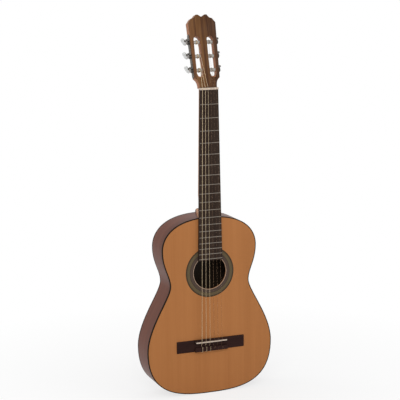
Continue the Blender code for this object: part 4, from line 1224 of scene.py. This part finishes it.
def screw_mesh(radius, height):
    """A domed head with a straight slot."""
    profile = [(0, height)]
    for i in range(1, DOME_STEPS + 1):
        turn = pi / 2 * i / DOME_STEPS
        rise = SCREW_EDGE + (1 - SCREW_EDGE) * cos(turn)
        profile.append((radius * sin(turn), height * rise))
    head = turned_mesh(profile + [(radius, 0), (0, 0)], SCREW_STEPS)
    slot = box_mesh((3 * radius, radius / SCREW_SLOT, height), SCREW_SLOT_BEVEL)
    slot.transform(lift(height))
    return cut_mesh(head, [slot])


print("teeth on each gear:", GEAR_TEETH)

# %% [markdown]
# A roller is a bone barrel on a steel shaft, and the gear sits on the shaft's outer end with its screw.
# They all turn together, so they ride on the roller's body. One turned solid could hold barrel and
# shaft, but bone and steel are two finishes, so they are two pieces.

# %% Rollers
SHAFT_RADIUS = 0.0028
SHAFT_TAIL = 0.005
COLLAR_RADIUS = 0.0038
SLOT_GAP = 0.0007
BARREL_ROUND = 0.0003
BARREL_LIP = 0.0008
BARREL_SLOPE = 0.0006
BARREL_WAIST = BARREL_RADIUS - 0.0004
# The radius of the screw's head and its height
GEAR_SCREW = (0.0024, 0.0011)
SCREW_TURN = 0.7
METAL_SHARP = 30


def barrel_mesh(start, end):
    """A waisted barrel with a lip at both ends, from start down to end on local z."""
    lip = ((0, 0), (BARREL_RADIUS - BARREL_ROUND, 0), (BARREL_RADIUS, BARREL_ROUND),
           (BARREL_RADIUS, BARREL_LIP), (BARREL_WAIST, BARREL_LIP + BARREL_SLOPE))
    upper = [(radius, start - depth) for radius, depth in lip]
    return turned_mesh(upper + [(radius, end + depth) for radius, depth in reversed(lip)])


def shaft_mesh(end):
    collar = GEAR_PLANE - (GEAR_DEPTH + CLEAR) / 2
    foot = PLATE_DEPTH + CLEAR
    tail = end - SHAFT_TAIL
    profile = [(0, collar), (COLLAR_RADIUS, collar), (COLLAR_RADIUS, foot), (SHAFT_RADIUS, foot),
               (SHAFT_RADIUS, tail), (0, tail)]
    return turned_mesh(profile)


def make_roller(side, height):
    tag = side + "_" + height
    body = "roller_unit_" + tag
    place = roller_matrix(tag)
    along = TUNER_MID + (HEIGHTS.index(height) - 1) * TUNER_SPACING
    taper = (HEAD_CORNER[0] - HEAD_LOW[0]) / (HEAD_CORNER[1] - HEAD_LOW[1])
    cheek = HEAD_LOW[0] + (along - HEAD_LOW[1]) * taper - SLOT_OUTER
    start = -CLEAR - cheek - SLOT_GAP
    end = start - (SLOT_OUTER - SLOT_INNER) + 2 * SLOT_GAP
    add_piece("barrel_" + tag, barrel_mesh(start, end), place, BARREL, body, "roller_" + tag)
    add_piece("shaft_" + tag, shaft_mesh(end), place, NICKEL, body)
    outer = place @ lift(GEAR_PLANE + GEAR_DEPTH / 2)
    add_piece("cog_" + tag, gear_mesh(), outer, STEEL, body, "gear_" + tag, METAL_SHARP)
    turn = Matrix.Rotation(SCREW_TURN if side == "treble" else -SCREW_TURN, 4, "Z")
    screw = screw_mesh(*GEAR_SCREW)
    add_piece("gear_screw_" + tag, screw, outer @ turn, NICKEL, body, sharp=METAL_SHARP)


for side, height in TAGS:
    make_roller(side, height)
print("rollers and gears:", len(TAGS))

# %% [markdown]
# The worm is a steel shaft with a screw thread that drives the gear. A screw modifier could sweep the
# thread, but a tube along a helix shows better how it works: the pitch of the helix is the step of the
# gear's teeth.

# %% Worms
GEAR_PITCH = 0.0053
WORM_LEAD = 2 * pi * GEAR_PITCH / GEAR_TEETH
WORM_LENGTH = 0.0082
WORM_CORE = 0.0019
WORM_SHAFT = 0.0015
WORM_TIP = 0.0020
WORM_ROUND = 0.0003
WORM_STEPS = 32
# Radii of the worm's rear collar, and how far each is from its rear end
WORM_COLLAR = ((WORM_SHAFT, 0.0022), (0.0024, 0.0018), (0.0026, 0))
BUTTON_BEHIND = 0.0080
WORM_BACK = HEAD_DEPTH - TUNER_DEPTH + BUTTON_BEHIND
THREAD_TURNS = 3
THREAD_STEPS = 32


def tube_mesh(points, radius, resolution=3):
    return settle(new_curve([points], False, dimensions="3D", bevel_depth=radius,
                            bevel_resolution=resolution, use_fill_caps=True))


def thread_mesh():
    points = []
    for i in range(THREAD_TURNS * THREAD_STEPS + 1):
        turns = i / THREAD_STEPS - THREAD_TURNS / 2
        turn = 2 * pi * turns + pi
        points.append((THREAD_CENTRE * cos(turn), THREAD_CENTRE * sin(turn), WORM_LEAD * turns))
    return tube_mesh(points, THREAD_RADIUS, resolution=2)


def worm_core_mesh():
    half = WORM_LENGTH / 2
    front = half + WORM_TIP
    profile = [(0, front), (WORM_SHAFT - WORM_ROUND, front), (WORM_SHAFT, front - WORM_ROUND),
               (WORM_SHAFT, half), (WORM_CORE, half), (WORM_CORE, -half), (WORM_SHAFT, -half)]
    profile += [(radius, rise - WORM_BACK) for radius, rise in WORM_COLLAR]
    return turned_mesh(profile + [(0, -WORM_BACK)], WORM_STEPS)


print("worm lead %.2f mm" % (1000 * WORM_LEAD))

# %% [markdown]
# The pearl button is pressed on the worm's rear end and turns with it. It is a flat oval, thicker at
# its middle and narrower at the neck. A squashed ball would come close, but its sides would be too
# thin, so the button is a loft through rounded sections that swell by a half wave.

# %% Buttons
BUTTON_LENGTH = 0.0205
BUTTON_WIDTH = 0.0205
BUTTON_DEPTH = 0.0085
BUTTON_RINGS = 20
BUTTON_POINTS = 36
BUTTON_SIDE_ROUND = 0.8
BUTTON_FACE_ROUND = 0.9
# Where each swelling starts on a half wave, how much of the wave it takes, and its power
WIDTH_SWELL = (0.06, 0.90, 0.35)
DEPTH_SWELL = (0.10, 0.84, 0.7)


def swelling(share, start, reach, power):
    return sin(pi * (start + reach * share)) ** power


def button_mesh():
    turns = [2 * pi * k / BUTTON_POINTS for k in range(BUTTON_POINTS)]
    sections = []
    for i in range(BUTTON_RINGS + 1):
        share = i / BUTTON_RINGS
        width = BUTTON_WIDTH / 2 * swelling(share, *WIDTH_SWELL)
        depth = BUTTON_DEPTH / 2 * swelling(share, *DEPTH_SWELL)
        sections.append([(width * signed_power(cos(a), BUTTON_SIDE_ROUND),
                          depth * signed_power(sin(a), BUTTON_FACE_ROUND),
                          BUTTON_LENGTH * (0.5 - share)) for a in turns])
    return loft_mesh(sections)


def make_worm(tag):
    body = "button_unit_" + tag
    place = worm_matrix(tag)
    add_piece("worm_core_" + tag, worm_core_mesh(), place, STEEL, body, "worm_" + tag)
    add_piece("worm_thread_" + tag, thread_mesh(), place, STEEL, body)
    back = lift(-WORM_BACK - (CLEAR + BUTTON_LENGTH) / 2)
    add_piece("oval_" + tag, button_mesh(), place @ back, PEARL, body, "button_" + tag)


for side, height in TAGS:
    make_worm(side + "_" + height)
print("worms and buttons:", len(TAGS))

# %% [markdown]
# Each side of the head carries one long metal plate with rounded ends. Two lugs stand up on it beside
# every gear and hold the worm, and wood screws fix the plate to the head. On the real plate the lugs
# are bent up or riveted on. Here they are boards of their own, because a board takes the round top and
# the hole at once.

# %% Plates and lugs
PLATE_LENGTH = 0.1120
PLATE_HEIGHT = 0.0140
PLATE_BEVEL = 0.0003
LUG_DEPTH = 0.0012
LUG_WIDTH = 0.0060
LUG_HOLE = 0.0019
LUG_STEPS = 12
HOLE_STEPS = 24
PLATE_SCREW = (0.0018, 0.0009)
# Places of the plate's screws, counted in steps from machine to machine
SCREW_SPOTS = (-1.45, -0.5, 0.5, 1.45)
SCREW_OFFSET = -0.0030


def plate_mesh():
    half = PLATE_HEIGHT / 2
    reach = PLATE_LENGTH / 2 - half
    loop = arc((reach, 0), half, -pi / 2, pi, END_STEPS)
    loop += arc((-reach, 0), half, pi / 2, pi, END_STEPS)
    holes = [circle(SHAFT_RADIUS + CLEAR, HOLE_STEPS, (step * TUNER_SPACING, 0)) for step in (-1, 0, 1)]
    return board_mesh([loop] + holes, PLATE_DEPTH, PLATE_BEVEL, segments=2)


def lug_mesh():
    """A round-topped lug with a hole, its foot in the plate and local y out of the head."""
    low = PLATE_DEPTH / 2 - GEAR_PLANE
    half = LUG_WIDTH / 2
    loop = [(-half, low), (half, low)] + arc((0, 0), half, 0, pi, LUG_STEPS)
    loops = [loop, circle(LUG_HOLE, HOLE_STEPS)]
    return board_mesh(loops, LUG_DEPTH, METAL_BEVEL, segments=2, angle=METAL_ANGLE)


def make_plate(side):
    middle = roller_matrix(side + "_mid")
    outward = middle.to_3x3().col[2]
    up = roller_matrix(side + "_high").translation - roller_matrix(side + "_low").translation
    place = axes_matrix(middle.translation, up, outward) @ lift(PLATE_DEPTH)
    node = "tuner_plate_" + side
    plate = plate_mesh()
    add_piece("side_plate_" + side, plate, place, STEEL, replaces=node, sharp=METAL_SHARP)
    for spot in SCREW_SPOTS:
        name = "plate_screw_%s_%d" % (side, round(10 * spot))
        screw = place @ Matrix.Translation((spot * TUNER_SPACING, SCREW_OFFSET, 0))
        add_piece(name, screw_mesh(*PLATE_SCREW), screw, NICKEL, sharp=METAL_SHARP)
    for height in HEIGHTS:
        axis = worm_matrix(side + "_" + height)
        normal = axis.to_3x3().col[2]
        stand = axes_matrix(axis.translation, outward.cross(normal), normal)
        for end, word in ((-1, "rear"), (1, "front")):
            gap = end * (WORM_LENGTH / 2 + RUN_CLEAR + LUG_DEPTH / 2) + LUG_DEPTH / 2
            name = "lug_%s_%s_%s" % (side, height, word)
            spot = stand @ lift(gap)
            add_piece(name, lug_mesh(), spot, NICKEL, sharp=METAL_SHARP)


for side in SIDES:
    make_plate(side)
print("plates: %d, lugs: %d" % (len(SIDES), 2 * len(TAGS)))

# %% [markdown]
# A string is tied round the bridge's tie block, passes over the saddle and the nut, and runs down a
# ramp to its roller. Its path could be drawn by hand, but every corner follows from a size that is
# already named. The corners are rounded, as a bent string lies.

# %% String routes
STRING_LIFT = 0.0001
TIE_OFFSET = 0.0026
KNOT_SIDE = 0.0004
KNOT_AHEAD = 0.0006
KNOT_DROP = 0.0010
SADDLE_ARRIVE = 0.0009
SADDLE_LEAVE = 0.0004
SADDLE_BEND = 0.0002
NUT_REST = 0.0004
CORNER_SHARE = 0.45
CORNER_LIMIT = 0.0030
CORNER_STEPS = 6


def smooth_route(points):
    """A rounded path through the corners, as a bent string lies."""
    path = [points[0]]
    for before, corner, after in zip(points, points[1:], points[2:]):
        reach = CORNER_SHARE * min((corner - before).length, (after - corner).length, CORNER_LIMIT)
        start = corner + (before - corner).normalized() * reach
        end = corner + (after - corner).normalized() * reach
        for i in range(CORNER_STEPS + 1):
            t = i / CORNER_STEPS
            path.append(start * (1 - t) ** 2 + corner * 2 * t * (1 - t) + end * t * t)
    path.append(points[-1])
    return path


def tied_route(number, radius):
    """From the knot round the tie block, over the saddle and up to the nut."""
    x = string_x(number, SADDLE_SPAN)
    knot = x + TIE_OFFSET
    over = TIE_TOP + radius + STRING_LIFT
    rear = BRIDGE_LOW - radius - STRING_LIFT
    crest = saddle_top_at(x) + radius + STRING_LIFT
    nut_x = string_x(number, NUT_SPAN)
    rest = NUT_TOP + NUT_REST
    corners = ((knot + KNOT_SIDE, TIE_HIGH + KNOT_AHEAD, over - KNOT_DROP),
               (knot, TIE_HIGH - KNOT_DROP, over), (knot, rear, over),
               (x, rear, TIE_HOLE_HEIGHT), (x, TIE_HIGH, TIE_HOLE_HEIGHT),
               (x, SADDLE_Z - SADDLE_ARRIVE, crest - SADDLE_BEND), (x, SADDLE_Z + SADDLE_LEAVE, crest),
               (nut_x, NUT_Z, rest), (nut_x, NUT_Z + NUT_DEPTH, rest))
    return [front_frame() @ Vector(corner) for corner in corners]


print("corners on each string:", len(tied_route(0, STRING_RADII[0])))

# %% [markdown]
# At the head the string is wound on its roller. The winding could turn with the roller, but then the
# string would tear at every turn of a button, so it stays with the guitar and the roller turns inside
# it. The three basses get the finish of wound wire, and the three trebles are clear nylon.

# %% Strings
STRING_ROLLERS = ("bass_low", "bass_mid", "bass_high", "treble_high", "treble_mid", "treble_low")
BASS_COUNT = 3
STRING_SHARP = 60
WIND_TURNS = 3
WIND_POINTS = 32
WIND_GAP = 0.0002
WIND_START = 0.0155


def winding(tag, radius):
    """Turns of string round a roller, from the inner side outwards."""
    place, outward = joint_place("turn_roller_" + tag)
    normal = joint_place("turn_button_" + tag)[1]
    upward = normal.cross(outward) * (1 if "treble" in tag else -1)
    ring = BARREL_RADIUS + radius + STRING_LIFT
    first = place - outward * ((abs(place.x) - WIND_START) / abs(outward.x))
    pitch = 2 * radius + WIND_GAP
    coil = []
    for i in range(WIND_TURNS * WIND_POINTS + 1):
        turn = 2 * pi * i / WIND_POINTS
        out = outward * (pitch * i / WIND_POINTS)
        coil.append(first + out + (normal * cos(turn) + upward * sin(turn)) * ring)
    return coil


for number, radius in enumerate(STRING_RADII):
    name = "string_%d" % (len(STRING_RADII) - number)
    coil = winding(STRING_ROLLERS[number], radius)
    path = smooth_route(tied_route(number, radius) + coil[:1]) + coil[1:]
    mesh = tube_mesh(path, radius)
    material, slot = (WOUND, "wound_string") if number < BASS_COUNT else (NYLON, "nylon")
    add_piece(name + "_tuned", mesh, Matrix(), material, replaces=name, sharp=STRING_SHARP)
print("strings:", len(STRING_RADII))

# %% Update the view layer
bpy.context.view_layer.update()
